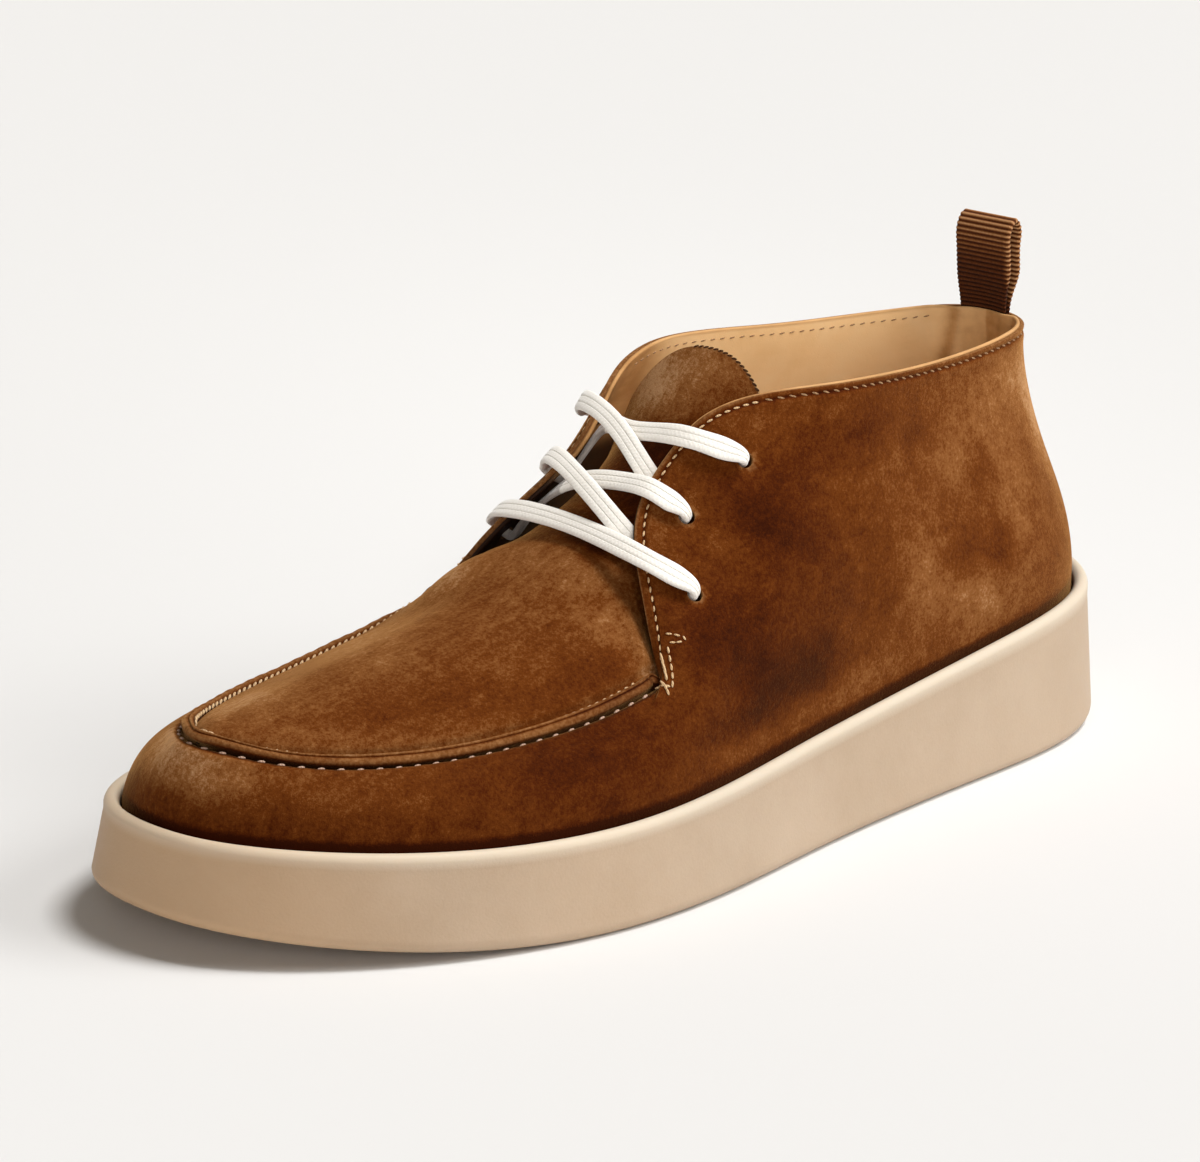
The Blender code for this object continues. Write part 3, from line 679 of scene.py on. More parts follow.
def make_upper(finishes):
    """The suede shell and its leather lining."""
    plain, depth = outer_grid()
    face, seats = eyelet_seats(plain)
    grid, normals = shape_upper(plain, depth, seats)
    edge = running_length(grid[0])
    along = np.stack([np.broadcast_to(edge, depth.shape), depth], axis=-1) * MM
    nap = nap_and_shade_patches(grid, UPPER_NAP_AND_SHADE)
    # painted shade in the groove along the apron's seam and along a row of stitches, a painted contact shadow just
    # above the sole's rim that deepens towards the heel, and light around each eyelet
    toe = on_toe(grid)
    groove = np.where(toe, 2.1 * (1 - ease(depth, 1.5, 2.7)), 0.7 * bell(depth - stitch_depth(grid), 0.5))
    above_rim = grid[..., 2] - rim_height(grid[..., 1].ravel()).reshape(depth.shape)
    nap = nap - groove - 1.1 * (1 - ease(above_rim, 0.2, 2.4))
    nap = nap - 0.5 * (1 - ease(above_rim, 0.4, 3.4)) * ease(grid[..., 1], 10, 60)
    for seat, _ in seats:
        nap += 0.5 * bell(np.linalg.norm(grid - seat - (0.0, 0.6, -0.6), axis=-1) - 2.4, 0.5)
    # the pale cut edge, broader down the facings
    facing = 1 - ease(grid[0, :, 1], FACING_TOP - 8, FACING_TOP + 4)
    facing = facing * ease(grid[0, :, 2], 50, 60)
    raw = (1 - ease(depth, 0.05, 0.35 + 0.75 * facing)) * ~toe * (0.25 + 0.75 * ease(grid[0, :, 2], 47, 56))
    mesh = grid_mesh(
        wall_shell(grid, normals, depth, 0.0, SUEDE, 0.3),
        both_faces(along),
        nap=both_faces(nap),
        raw=both_faces(raw),
    )
    piece("suede_quarters", punched(mesh, seats), finishes["suede"], "brown_suede", "upper")

    # the lining stands a little above the suede's edge, and has a seam and a fold at the heel
    inner = plain.copy()
    lift = unit(plain[0] - plain[3]) * np.where(toe, -1.2, 0.35)[:, None]
    inner += (1 - ease(depth, 0.0, 2.0))[..., None] * lift
    x, y, z = np.moveaxis(inner, -1, 0)
    seam, fold = along_line(inner, *LINING_SEAM)[0], along_line(inner, *LINING_FOLD)[0]
    lining_rise = uneven(inner, 14, 0.2) * ease(depth, 3, 12) - 0.8 * bell(fold, 2.6) - 0.25 * bell(seam, 0.8)
    over_foot = ease(x, -19, -14) * (1 - ease(x, 1.5, 5)) * ease(z, 82, 91) * (y > 100)
    lining_rise = lining_rise - 2.1 * over_foot
    # 1 is brown shade and 2 is the dark down inside
    shade = (1 - ease(y, 18, 46)) * (1.0 + (1 - ease(z, 80, 90))) + 0.80 * bell(seam, 0.7)
    heel = 0.8 * bell(fold, 2.0) + (0.30 + 0.36 * ease(x, -16, -12)) * ease(y, 100, 118)
    heel += ease(x, -5.4, -4.0) * (0.40 - 0.30 * ease(x, 0, 8)) * ease(y, 88, 108)
    shade += np.minimum(heel, 1.0)
    shade = np.maximum(shade, 0.8 * (1 - ease(depth, 0.3, 1.0)))
    shade = np.where(toe, 2.0, np.minimum(shade, 2.0))
    mesh = grid_mesh(
        wall_shell(inner + normals * lining_rise[..., None], normals, depth, LINING_START, LINING, 0.45),
        both_faces(along),
        raw=0.0,
        shade=both_faces(shade),
    )
    piece("leather_lining", punched(mesh, seats), finishes["lining"], "tan_leather")
    return {"plain": plain, "grid": grid, "normals": normals, "face": face, "seats": seats}


def at_depth(grid, distance):
    """The line on the outer face at a distance, one number or one for each column, below the free edge."""
    distance = np.broadcast_to(distance, grid.shape[1])
    rows = np.array(EDGE_ROWS)
    k = np.searchsorted(rows, distance) - 1
    share = ((distance - rows[k]) / (rows[k + 1] - rows[k]))[:, None]
    column = np.arange(grid.shape[1])
    return grid[k, column] * (1 - share) + grid[k + 1, column] * share


# ---------------------------------------------------------------- sole and insole
AROUND = 360


def level_rings(levels):
    """Rings of the sole's outline, once round and closed, at each level's inset and height."""
    way = np.linspace(0, 2, AROUND + 1)
    rings = []
    for inset, height in levels:
        plan, _ = inset_outline(way, inset)
        rings.append(np.column_stack([plan, height(plan[:, 1])]))
    return np.array(rings)


def filled(ring, across, lift=lambda y, share: 0.0):
    """A closed ring's inside: rows from heel to toe, each from the +X side to the -X side."""
    half = AROUND // 2
    right, left = ring[: half + 1], ring[: half - 1 : -1]
    share = np.linspace(0, 1, across + 1)[None, :, None]
    points = right[:, None] * (1 - share) + left[:, None] * share
    points[..., 2] += lift(points[..., 1], share[..., 0])
    return points


def rounded(start, end, count):
    """Pairs of numbers on a quarter round, which leaves start along the second number."""
    turn = np.linspace(0, np.pi / 2, count)[:, None]
    return start + (np.array(end) - start) * np.hstack([1 - np.cos(turn), np.sin(turn)])


def make_sole(finishes):
    """One moulded cup: flat tread, leaning side, rounded lip, and the hollow that takes the upper."""

    def over_tread(share_up, offset=0.0):
        return lambda y: tread_height(y) * (1 - share_up) + rim_height(y) * share_up + offset

    cup, foot, lip = WALL_FLARE + LIP, 2.6, 2.2
    levels = [(inset, over_tread(0, up)) for up, inset in rounded((0.0, foot), (foot, 0.0), 7)]
    for share in np.linspace(0, 0.92, 22)[1:]:
        levels.append((WALL_FLARE * share, over_tread(share, foot * (1 - share) - lip * share)))
    for inset, up in rounded((0.0, -lip), (LIP * 0.55, 0.0), 9)[1:]:
        levels.append((WALL_FLARE * 0.92 + inset, over_tread(1, up)))
    for share in (0.25, 0.5, 0.75, 1.0):
        levels.append((cup - (1 - share) * LIP * 0.5, over_tread(1, -1.3 * share**2.2)))
    levels += [(cup, over_tread(1, -2.6)), (cup, floor_height)]
    rings = level_rings(levels)

    def arch(y, across):
        along = np.clip((share_of(y) - 0.30) / 0.26, 0, 1)
        return WAIST_HOLLOW * np.sin(np.pi * along) ** 2 * np.sin(np.pi * across)

    height = np.array([ring[:, 2] for ring in rings])
    top = rim_height(rings[0][:, 1])
    # painted highlight along the top of the lip, painted warm shade over the toe and a little over the whole
    # tread, and painted shade on the +X side from the middle back to the heel
    pale = ease(height, top - 4.0, top - 0.6)
    worn = 0.75 * ease(-rings[..., 1], 98, 146) * (1 - 0.5 * pale)
    far = ease(rings[..., 1], -75, -20) * (rings[..., 0] > 0)
    wall = grid_mesh(rings, lip=pale, worn=worn, far=far)
    tread = grid_mesh(filled(rings[0], 40, arch), lip=0.0, worn=0.3, far=0.0)
    floor = grid_mesh(filled(rings[-1], 12), lip=0.0, worn=0.0, far=0.0)
    piece("cup_sole_moulding", merged([wall, tread, floor]), finishes["gum"], "gum_rubber", "cup_sole")


def make_insole(finishes):
    """The leather sock over the footbed, dished under the heel."""
    inset = WALL_FLARE + LIP + GAP + WALL + GAP + 0.7
    levels = ((0, GAP), (0, 3.2), (0.35, 3.85), (1.1, 4.2))
    rings = level_rings([(inset + more, lambda y, up=up: floor_height(y) + up) for more, up in levels])

    def dish(y, across):
        middle = np.sin(np.pi * across) ** 0.8
        heel = ease(y, 40, 95)
        return -(1.1 * heel + 0.45 * (1 - heel)) * middle

    parts = [grid_mesh(part) for part in (rings, filled(rings[-1], 36, dish), filled(rings[0], 12))]
    piece("leather_sock", merged(parts), finishes["sock"], "tan_leather", "insole")


# ---------------------------------------------------------------- apron and tongue
APRON_ROWS = 110
TONGUE_ROWS = 84
JOIN_ROWS = 9
APRON_ACROSS = 104
CROWN = 2.2                  # the power of the curve over the foot, from side to side
VAMP_CREASES = (
    # start              end                width height
    ((-14, -52, 60), (12, -50, 60), 9.0, -0.5),
    ((-20, -72, 55), (14, -76, 55), 12.0, 0.4),
    ((-12, -98, 52), (10, -96, 52), 10.0, -0.25),
    ((4, -40, 64), (26, -34, 58), 6.0, -0.35),
    ((-24, -52, 56), (-19, -29, 70), 7.0, 2.0),
)
# patches in the suede's tone: partly its own light and dark, partly painted light and shade, such as the dark on
# the tongue under the laces
VAMP_NAP_AND_SHADE = (
    # x   y    z   wide high strength
    (-20, -74, 50, 16, 10, 0.60),
    (-14, -114, 48, 12, 7, 0.75),
    (-4, -104, 51, 24, 10, 0.10),
    (2, -50, 62, 14, 9, 0.15),
    (-6, -32, 68, 12, 4, 0.40),
    (0, -85, 54, 14, 8, 0.20),
    (22, -36, 60, 6, 7, 0.60),
    (29, -48, 53, 5, 4, -0.35),
    (14, -93, 48, 20, 5, -0.25),
    (17, -79, 49, 9, 6, -0.15),
    (28, -58, 48, 12, 6, -0.20),
    (-4, 12, 104, 24, 9, 0.44),
    (7, 17, 107, 10, 4, 0.24),
    (-17, 10, 101, 11, 14, 0.90),
    (0, -2, 89, 20, 5, -0.9),
    (4, -10, 83, 14, 5, -0.9),
    (8, -113, 45, 18, 4, 0.15),
    (24, -88, 46, 12, 4, 0.30),
    (-21, -44, 62, 8, 9, 0.80),
    (13, -30, 67, 9, 4, 0.55),
    (16, 4, 92, 8, 8, -0.3),
)
LACE_SHADE = ((13, -23.6, 71.5), (-13, -24.4, 74.0))
FACING_GAP = (
    # painted shade in the gap beside each facing's edge: height, how wide and how dark
    (48.0, 0.3, 0.8),
    (55.0, 0.4, 1.5),
    (63.0, 0.6, 2.2),
    (67.5, 1.2, 2.6),
    (72.0, 2.5, 2.9),
    (84.0, 4.2, 2.2),
    (92.0, 2.2, 0.8),
    (98.0, 1.6, 0.2),
)


def vamp_grid():
    """The apron's and tongue's outer face: rows from the tip of the apron to the top of the tongue."""
    u = np.sin(np.linspace(1, -1, APRON_ACROSS + 1) * np.pi / 2)
    rows = stations(TOE_WALL, APRON_ROWS, 1.3)[::-1]
    edge = np.column_stack([rows[:, 2], rows[:, 1], rows[:, 3]])
    along = np.gradient(edge[:, :2], axis=0)
    normal = unit(np.column_stack([along[:, 1], -along[:, 0]]))
    normal[0] = (0, -1)
    edge[:, :2] -= normal * GAP * 1.3
    corner = bell(running_length(edge)[-1] - running_length(edge), 4.0)
    edge -= corner[:, None] * (1.5, 1.2, 0.9)
    y = edge[:, 1]
    top = column_curve(INSTEP)(y)[:, 0]
    top[0] = edge[0, 2]
    middle = centre_x(y)
    power = CROWN - 0.6 * ease(-u, 0.0, 0.35) * (1 - ease(y, -58, -40))[:, None]
    height = top[:, None] - (top - edge[:, 2])[:, None] * np.abs(u) ** power
    apron = np.stack([middle[:, :1] + edge[:, :1] * u, np.broadcast_to(y[:, None], height.shape), height], axis=-1)

    tongue_curve = smooth_curve(np.linspace(0, 1, len(TONGUE)), TONGUE)
    tongue = []
    for share in np.linspace(0, 1, TONGUE_ROWS):
        x, y, z, half, back, drop, turn = tongue_curve(share * (1 - TONGUE_ROUND * share * np.abs(u) ** 3)).T
        shape = np.abs(u) ** CROWN
        tongue.append(np.column_stack([x + half * u, y + back * shape + turn * u, z - drop * shape]))
    tongue = np.array(tongue)
    control = np.concatenate([apron[[-9, -6, -4, -2, -1]], tongue[[0, 6, 12, 20]]])
    run = running_length(control[:, APRON_ACROSS // 2])
    joint = smooth_curve(run, control.reshape(len(control), -1))
    between = joint(np.linspace(run[4], run[5], JOIN_ROWS + 2)[1:-1]).reshape(JOIN_ROWS, -1, 3)
    return np.concatenate([apron, between, tongue])


def tree_of(places):
    """A tree that finds the nearest of many places."""
    tree = KDTree(len(places))
    for k, place in enumerate(places):
        tree.insert(place, k)
    tree.balance()
    return tree


def outwards(mesh):
    """The open sheet with its faces turned up."""
    if sum(face.normal.z * face.area for face in mesh.polygons) < 0:
        mesh.flip_normals()
    return mesh


def make_vamp(finishes):
    """The apron and tongue in one piece of suede, with the leather that lines them."""
    points = vamp_grid()
    normals = -grid_normals(points)
    normals[0] = normals[3]
    seam = np.concatenate([points[APRON_ROWS - 1 :: -1, 0], points[1:APRON_ROWS, -1]])
    fine = np.linspace(0, running_length(seam)[-1], 1400)
    line = read_along(running_length(seam), seam, fine)
    tree = tree_of(line)
    from_seam = np.array([tree.find(place)[2] for place in points.reshape(-1, 3)]).reshape(points.shape[:2])
    # creases, and the trough and swell beside the ridge
    rise = creases(points, VAMP_CREASES) + uneven(points, 15, 0.25) * ease(from_seam, 4, 14)
    slim = ease(points[..., 0], -22, -16) * (1 - ease(points[..., 0], 4, 22))
    rise += (0.5 * slim - 0.75) * bell(from_seam - 2.9 + 0.6 * slim, 0.9)
    rise += 0.3 * bell(from_seam - 6.2, 2.4) - 0.2 * bell(from_seam, 2.6)
    # the facings press down on the apron and tongue, with painted shade in the gap beside their edges
    facing = stations(QUARTER, QUARTER_COLUMNS)
    facing = facing[facing[:, 1] < FACING_TOP][::2]
    gap = np.zeros(points.shape[:2])
    dark, dark_side = gap.copy(), gap + 100
    table = np.array(FACING_GAP)
    for side in (1, -1):
        edge = np.column_stack([centre_x(facing[:, 1])[:, 0] + side * facing[:, 2], facing[:, 1], facing[:, 3]])
        away = np.linalg.norm(points[:, :, None] - edge[None, None], axis=-1)
        nearest, away = edge[away.argmin(axis=2)], away.min(axis=2)
        height = nearest[..., 2]
        wide, much = (np.interp(height, table[:, 0], table[:, k]) for k in (1, 2))
        near = bell(np.clip(away - 0.9, 0, None), wide)
        inside = side * (nearest[..., 0] - points[..., 0]) > 0
        rise += 1.1 * bell(away - 2.8, 2.0) * inside * (1 - ease(height, 64, 72))
        gap += near
        dark_side = np.minimum(dark_side, away + 100 * (side < 0))
        dark += near * much
    # a painted shadow under the lowest lace, painted shade some way from the +X facing with painted light close to
    # it, and a painted highlight beside the ridge
    dark += 1.4 * bell(along_line(points, *LACE_SHADE)[0], 1.6)
    dark += 0.16 * bell(dark_side - 10.0, 4.5) - 0.45 * bell(dark_side - 3.0, 1.8)
    dark -= 0.14 * bell(from_seam - 3.8, 1.6) * (points[..., 0] > -16)
    rise -= 0.9 * gap
    shaped = points + normals * rise[..., None]

    run = running_length(points[:, APRON_ACROSS // 2])
    across = np.array([running_length(row) for row in points])
    across -= across[:, -1:] / 2
    along = np.stack([across, np.broadcast_to(run[:, None], across.shape)], axis=-1) * MM
    last = np.linalg.norm(points - points[-1:], axis=-1)
    raw = 1 - ease(last, 0.1, 0.5)
    raw[: APRON_ROWS + 20] = 0
    mesh = outwards(grid_mesh(shaped, along, nap=nap_and_shade_patches(points, VAMP_NAP_AND_SHADE) - dark, raw=raw))
    mesh = with_modifier(mesh, "SOLIDIFY", thickness=1.1 * MM, offset=-1)
    piece("suede_apron_and_tongue", mesh, finishes["suede"], "brown_suede", "apron_and_tongue")

    inside = (points - normals * 1.2)[:-2, 1:-1]
    # painted shade, near black, on the lining down under the apron, fading out towards the tongue
    covered = 2.0 * (1 - ease(np.arange(len(points)), APRON_ROWS + 8, APRON_ROWS + 40))[:-2, None]
    mesh = outwards(grid_mesh(inside, along[:-2, 1:-1], shade=covered))
    mesh = with_modifier(mesh, "SOLIDIFY", thickness=0.6 * MM, offset=-1)
    piece("vamp_lining", mesh, finishes["lining"], "tan_leather")
    return {"points": shaped, "normals": normals, "seam": line, "plain": points}


RIDGE = (
    # inwards from the seam, and up
    (-0.9, -4.2),
    (-0.62, -0.3),
    (-0.60, 0.75),
    (-0.32, 1.28),
    (0.25, 1.50),
    (0.85, 1.50),
    (1.24, 1.32),
    (1.40, 1.10),
    (1.54, 1.28),
    (1.72, 1.46),
    (1.96, 1.48),
    (2.18, 1.28),
    (2.30, 0.70),
    (2.36, -0.2),
    (2.42, -1.4),
    (1.2, -3.4),
)


# tone at each point of the ridge's section: painted shade under its edges and in the groove between its two
# strips, and painted highlights on their tops
RIDGE_NAP_AND_SHADE = (-1.8, -1.6, -0.6, 0.20, 0.30, 0.30, 0.0, -0.7, 0.0, 0.40, 0.50, 0.20, -0.5, -1.3, -1.7, -1.8, -1.8)


def capped(rings):
    """The rows of points of a tube, with a row at each end that is drawn together to one point."""
    first, last = (np.broadcast_to(end.mean(axis=0), end.shape)[None] for end in (rings[0], rings[-1]))
    return np.concatenate([first, rings, last])


def sweep(places, first, second, section, **marks):
    """Closed sections carried along a line. first and second are the sections' own two directions."""
    ring = capped(places[:, None] + section[..., :1] * first[:, None] + section[..., 1:] * second[:, None])
    ring = np.concatenate([ring, ring[:, :1]], axis=1)
    run = running_length(ring.mean(axis=1))
    along = np.broadcast_arrays(run[:, None] * MM, np.linspace(0, 1, ring.shape[1]))
    return grid_mesh(ring, np.stack(along, axis=-1), **marks)


def frame_along(places, normals):
    """Directions along a line, across it and square to the surface under it."""
    ahead = unit(np.gradient(places, axis=0))
    aside = unit(np.cross(normals, ahead))
    return ahead, aside, unit(np.cross(ahead, aside))


def spaced(line, values, pitch, start=0.0, end=0.0):
    """Places at an even pitch along a line, and the values there."""
    run = running_length(line)
    length = run[-1] - start - end
    steps = max(1, round(length / pitch))
    at = start + (np.arange(steps) + 0.5) * length / steps
    return read_along(run, line, at), read_along(run, values, at)


def make_ridge(finishes, vamp, upper):
    """The pinched double edge that stands up around the apron, from one facing's corner to the other's."""
    line = vamp["seam"][::3]
    corners = upper["plain"][0, QUARTER_COLUMNS - 1], upper["plain"][0, -QUARTER_COLUMNS]
    steps = np.linspace(0, 1, 6)[:-1, None]
    reach = [corner + (end - corner) * steps for corner, end in zip(corners, (line[0], line[-1]))]
    line = np.concatenate([reach[0], line, reach[1][::-1]])
    # the surface under the ridge, evened out along it
    around = vamp["normals"].reshape(-1, 3)
    tree = tree_of(vamp["plain"].reshape(-1, 3))
    normals = np.array([np.mean([around[k] for _, k, _ in tree.find_n(place, 24)], axis=0) for place in line])
    for _ in range(30):
        normals[1:-1] = (normals[:-2] + normals[1:-1] + normals[2:]) / 3
    normals = unit(normals)
    _, outside, up = frame_along(line, normals)
    aside = -outside
    run = running_length(line)
    # hand sewing: uneven, pinched at each stitch, tucked in at both ends, taller and upright on the inner side
    wobble = 1 + 0.03 * np.sin(run / 5.1) + 0.02 * np.sin(run / 2.3 + 1)
    pinch = 1 + 0.03 * np.cos(2 * np.pi * run / SEAM_PITCH)
    from_end = np.minimum(run, run[-1] - run)
    ends = ease(from_end, 0, 1.3)
    outer = np.maximum(ease(line[:, 0], -14, 10), 1 - ease(from_end, 6, 18))[:, None]
    up = unit(up + (0.0, 0.0, 0.5) * (1 - outer))
    aside = unit(aside - up * (aside * up).sum(axis=1, keepdims=True))
    tall = wobble * pinch * (1 + 0.45 * (1 - outer[:, 0]))
    slim = (1 - ease(line[:, 0], 4, 22)) * outer[:, 0]
    section = np.array(RIDGE)[None] * np.stack([1 - 0.27 * slim, tall * (1 - 0.1 * slim)], axis=-1)[:, None]
    section[:, 0] += ease(line[:, 1:2], -75, -55) * (-1.5, 0.8)
    section = section * (0.5 + 0.5 * ends[:, None, None]) - (0, 1.0) * (1 - ends[:, None, None])
    fray = np.pad(ends[:, None], ((1, 1), (0, 0)), mode="edge") * (np.array(RIDGE_NAP_AND_SHADE) > 0)
    # painted shade on the +X side of the ridge towards the facing's corner
    deeper = np.pad(0.45 * ease(line[:, 1], -62, -42) * (line[:, 0] > 0), 1, mode="edge")[:, None]
    mesh = sweep(line, aside, up, section, nap=np.array(RIDGE_NAP_AND_SHADE) - deeper, raw=0.5 * fray)
    mesh = with_modifier(mesh, "SUBSURF", levels=1, render_levels=1)
    piece("apron_ridge", mesh, finishes["suede"], "brown_suede", sharp=70)
    return line, aside, up


# ---------------------------------------------------------------- laces
def facing_seat(face, side, z):
    """The point of the facing's edge at height z, and the direction away from the foot there."""
    facing = [(row[3], row[1], row[2]) for row in QUARTER if row[1] < FACING_TOP]
    y, half = column_curve(facing)(z)[0]
    edge = np.array([centre_x(y)[0, 0] + side * half, y, z])
    _, away = beside(face, side, edge, 0)
    return edge, away


def beside(face, side, point, distance):
    """The place at a distance from the outer face, near a point, and the direction away from the foot there."""
    seat, normal, _, _ = face.find_nearest(Vector(point))
    away = np.array(normal) * math.copysign(1, normal.x * side)
    return np.array(seat) + away * distance, away


def lace_nodes(face):
    """Places along the lace: a point, the direction its flat side faces, its width and its thickness."""
    nodes = []
    below = WALL + GAP + 0.7 + LACE_THICKNESS / 2
    above = GAP + 0.5 + LACE_THICKNESS / 2
    bunched = EYELET_RADIUS * 1.15

    def add(point, flat, width=LACE_WIDTH, thickness=LACE_THICKNESS):
        nodes.append(np.concatenate([point, unit(flat), [width, thickness]]))

    def eyelet_turn(side, eyelet, inner, inwards):
        """From under the facing's edge, out through an eyelet and over the edge, or the same way back."""
        seat, away = side_seat(face, side, *EYELETS[eyelet])
        start = len(nodes)
        if inner is None:
            add(seat - away * (WALL + 1.6), away + unit(np.array([0, -1, 1])), bunched, bunched)
        else:
            edge, _ = facing_seat(face, side, LACE_UNDER[inner][0 if side > 0 else 1])
            length = np.linalg.norm(edge - seat)
            add(*beside(face, side, edge, -below))
            if length > 14:
                add(*beside(face, side, (edge + seat) / 2, -below))
            add(*beside(face, side, seat + (edge - seat) * 5.5 / length, -below), LACE_WIDTH * 0.85)
            toward = unit(edge - seat)
            add(seat - away * (below + 0.2) + toward * 1.4, away + toward * 0.6, bunched, bunched * 0.85)
        over, over_away = facing_seat(face, side, LACE_OVER[eyelet])
        toward = unit(over - seat)
        slack = 0 if side > 0 else LACE_SLACK[eyelet]
        add(seat - away * WALL / 2, toward, bunched, bunched)
        add(seat + away * (above - 0.1) + toward * 1.2, away - toward, LACE_WIDTH * 0.65, 2.1)
        add(*beside(face, side, seat + toward * 4.8, above))
        add(*beside(face, side, (seat + over + toward * 3.0) / 2, above + 0.3 + slack / 2))
        add(over + over_away * (above + 0.9) + np.array([side * 0.8, 0, 0.6]) * slack, over_away)
        if inwards:
            nodes[start:] = nodes[start:][::-1]

    def cross_over(run, towards):
        """Over the instep, from one facing to the other."""
        instep_up = np.array([0.0, -0.72, 0.69])
        for point in LACE_RUNS[run][:: -towards]:
            add(np.array(point), instep_up, LACE_WIDTH * 0.95)

    eyelet_turn(1, 2, None, False)
    cross_over(4, -1)
    eyelet_turn(-1, 1, 1, False)
    cross_over(1, 1)
    eyelet_turn(1, 0, 0, False)
    cross_over(0, -1)
    eyelet_turn(-1, 0, 0, True)
    cross_over(2, 1)
    eyelet_turn(1, 1, 1, True)
    cross_over(3, -1)
    eyelet_turn(-1, 2, None, True)
    return np.array(nodes)


def make_laces(finishes, face, seats, steps=14):
    """One flat woven lace of three ribs through all six eyelets."""
    nodes = lace_nodes(face)
    run = running_length(nodes[:, :3])
    across = np.cross(np.gradient(nodes[:, :3], run, axis=0), nodes[:, 3:6])
    for k in range(1, len(across)):
        across[k] *= math.copysign(1, across[k] @ across[k - 1])
    # places and directions are evened out, and held where the lace goes through a hole
    route = smooth_curve(run, np.column_stack([nodes[:, :3], unit(across), nodes[:, 6:]]))
    places = np.interp(np.arange((len(run) - 1) * steps + 1) / steps, np.arange(len(run)), run)
    samples = route(places)
    holes = np.array(seats)[:, 0]
    free = ease(np.linalg.norm(samples[:, None, :3] - holes[None], axis=2).min(axis=1), 3, 9)[1:-1, None] * 0.5
    for _ in range(SMOOTHING):
        samples[1:-1, :6] += ((samples[:-2, :6] + samples[2:, :6]) / 2 - samples[1:-1, :6]) * free
    ahead = unit(np.gradient(samples[:, :3], axis=0))
    side = unit(samples[:, 3:6] - ahead * (samples[:, 3:6] * ahead).sum(axis=1, keepdims=True))
    thin = np.cross(ahead, side)
    # half of the section, with the groove between its ribs
    flat = np.array([0, 0.12, 0.22, 0.27, 0.31, 0.35, 0.39, 0.44, 0.55, 0.7, 0.83, 0.92, 0.98])
    flat = np.concatenate([-flat[:0:-1], flat])
    rib = (1 - np.abs(flat) ** 5) ** 0.5 * (1 - 0.22 * bell(np.abs(flat) - 0.31, 0.05))
    # where the groove between the ribs lies, for painted shade in it
    groove = bell(np.abs(flat) - 0.31, 0.045)
    flat, rib, groove = (np.concatenate(pair) for pair in ((flat, -flat), (rib, -rib), (groove, groove)))
    section = np.stack([samples[:, 6:7] / 2 * flat * 0.93, samples[:, 7:8] / 2 * rib * 0.80], axis=-1)
    # how deep each place lies under the far facing, where painted shade darkens the lace
    under = []
    for point in samples[:, :3]:
        seat, normal, _, _ = face.find_nearest(Vector(point))
        inwards = (seat - Vector(point)) @ normal * math.copysign(1, normal.x * point[0])
        covered = point[0] < -7 and inwards > 0.93 * (seat - Vector(point)).length
        under.append(inwards if covered else 0)
    dim = ease(np.array(under), 1.5, 4.2)
    dim = np.concatenate([dim[:1], dim, dim[-1:]])[:, None]
    mesh = sweep(samples[:, :3], side, thin, section, groove=np.append(groove, groove[0]), dim=dim)
    piece("flat_laces", mesh, finishes["lace"], "cream_cotton", "laces", sharp=60)


# ---------------------------------------------------------------- heel loop
LOOP_SIDE = (
    # y      z
    (125.0, 94.5),
    (124.9, 98.0),
    (124.6, 102.5),
    (123.9, 108.0),
    (123.4, 114.0),
    (123.1, 120.5),
    (122.9, 124.6),
    (121.3, 126.2),
    (119.7, 124.6),
    (119.4, 118.5),
    (120.4, 111.0),
    (122.3, 105.5),
    (123.4, 101.5),
    (123.75, 98.0),
    (124.0, 94.5),
)
LOOP_WIDTH = (15.2, 12.6)        # above and at the foot
LOOP_MIDDLE = (-4.6, -5.6)
LOOP_TURN = math.radians(9)
COLLAR_ROUND = 0.0354            # how strongly the back of the collar curves
RIB = 1.2


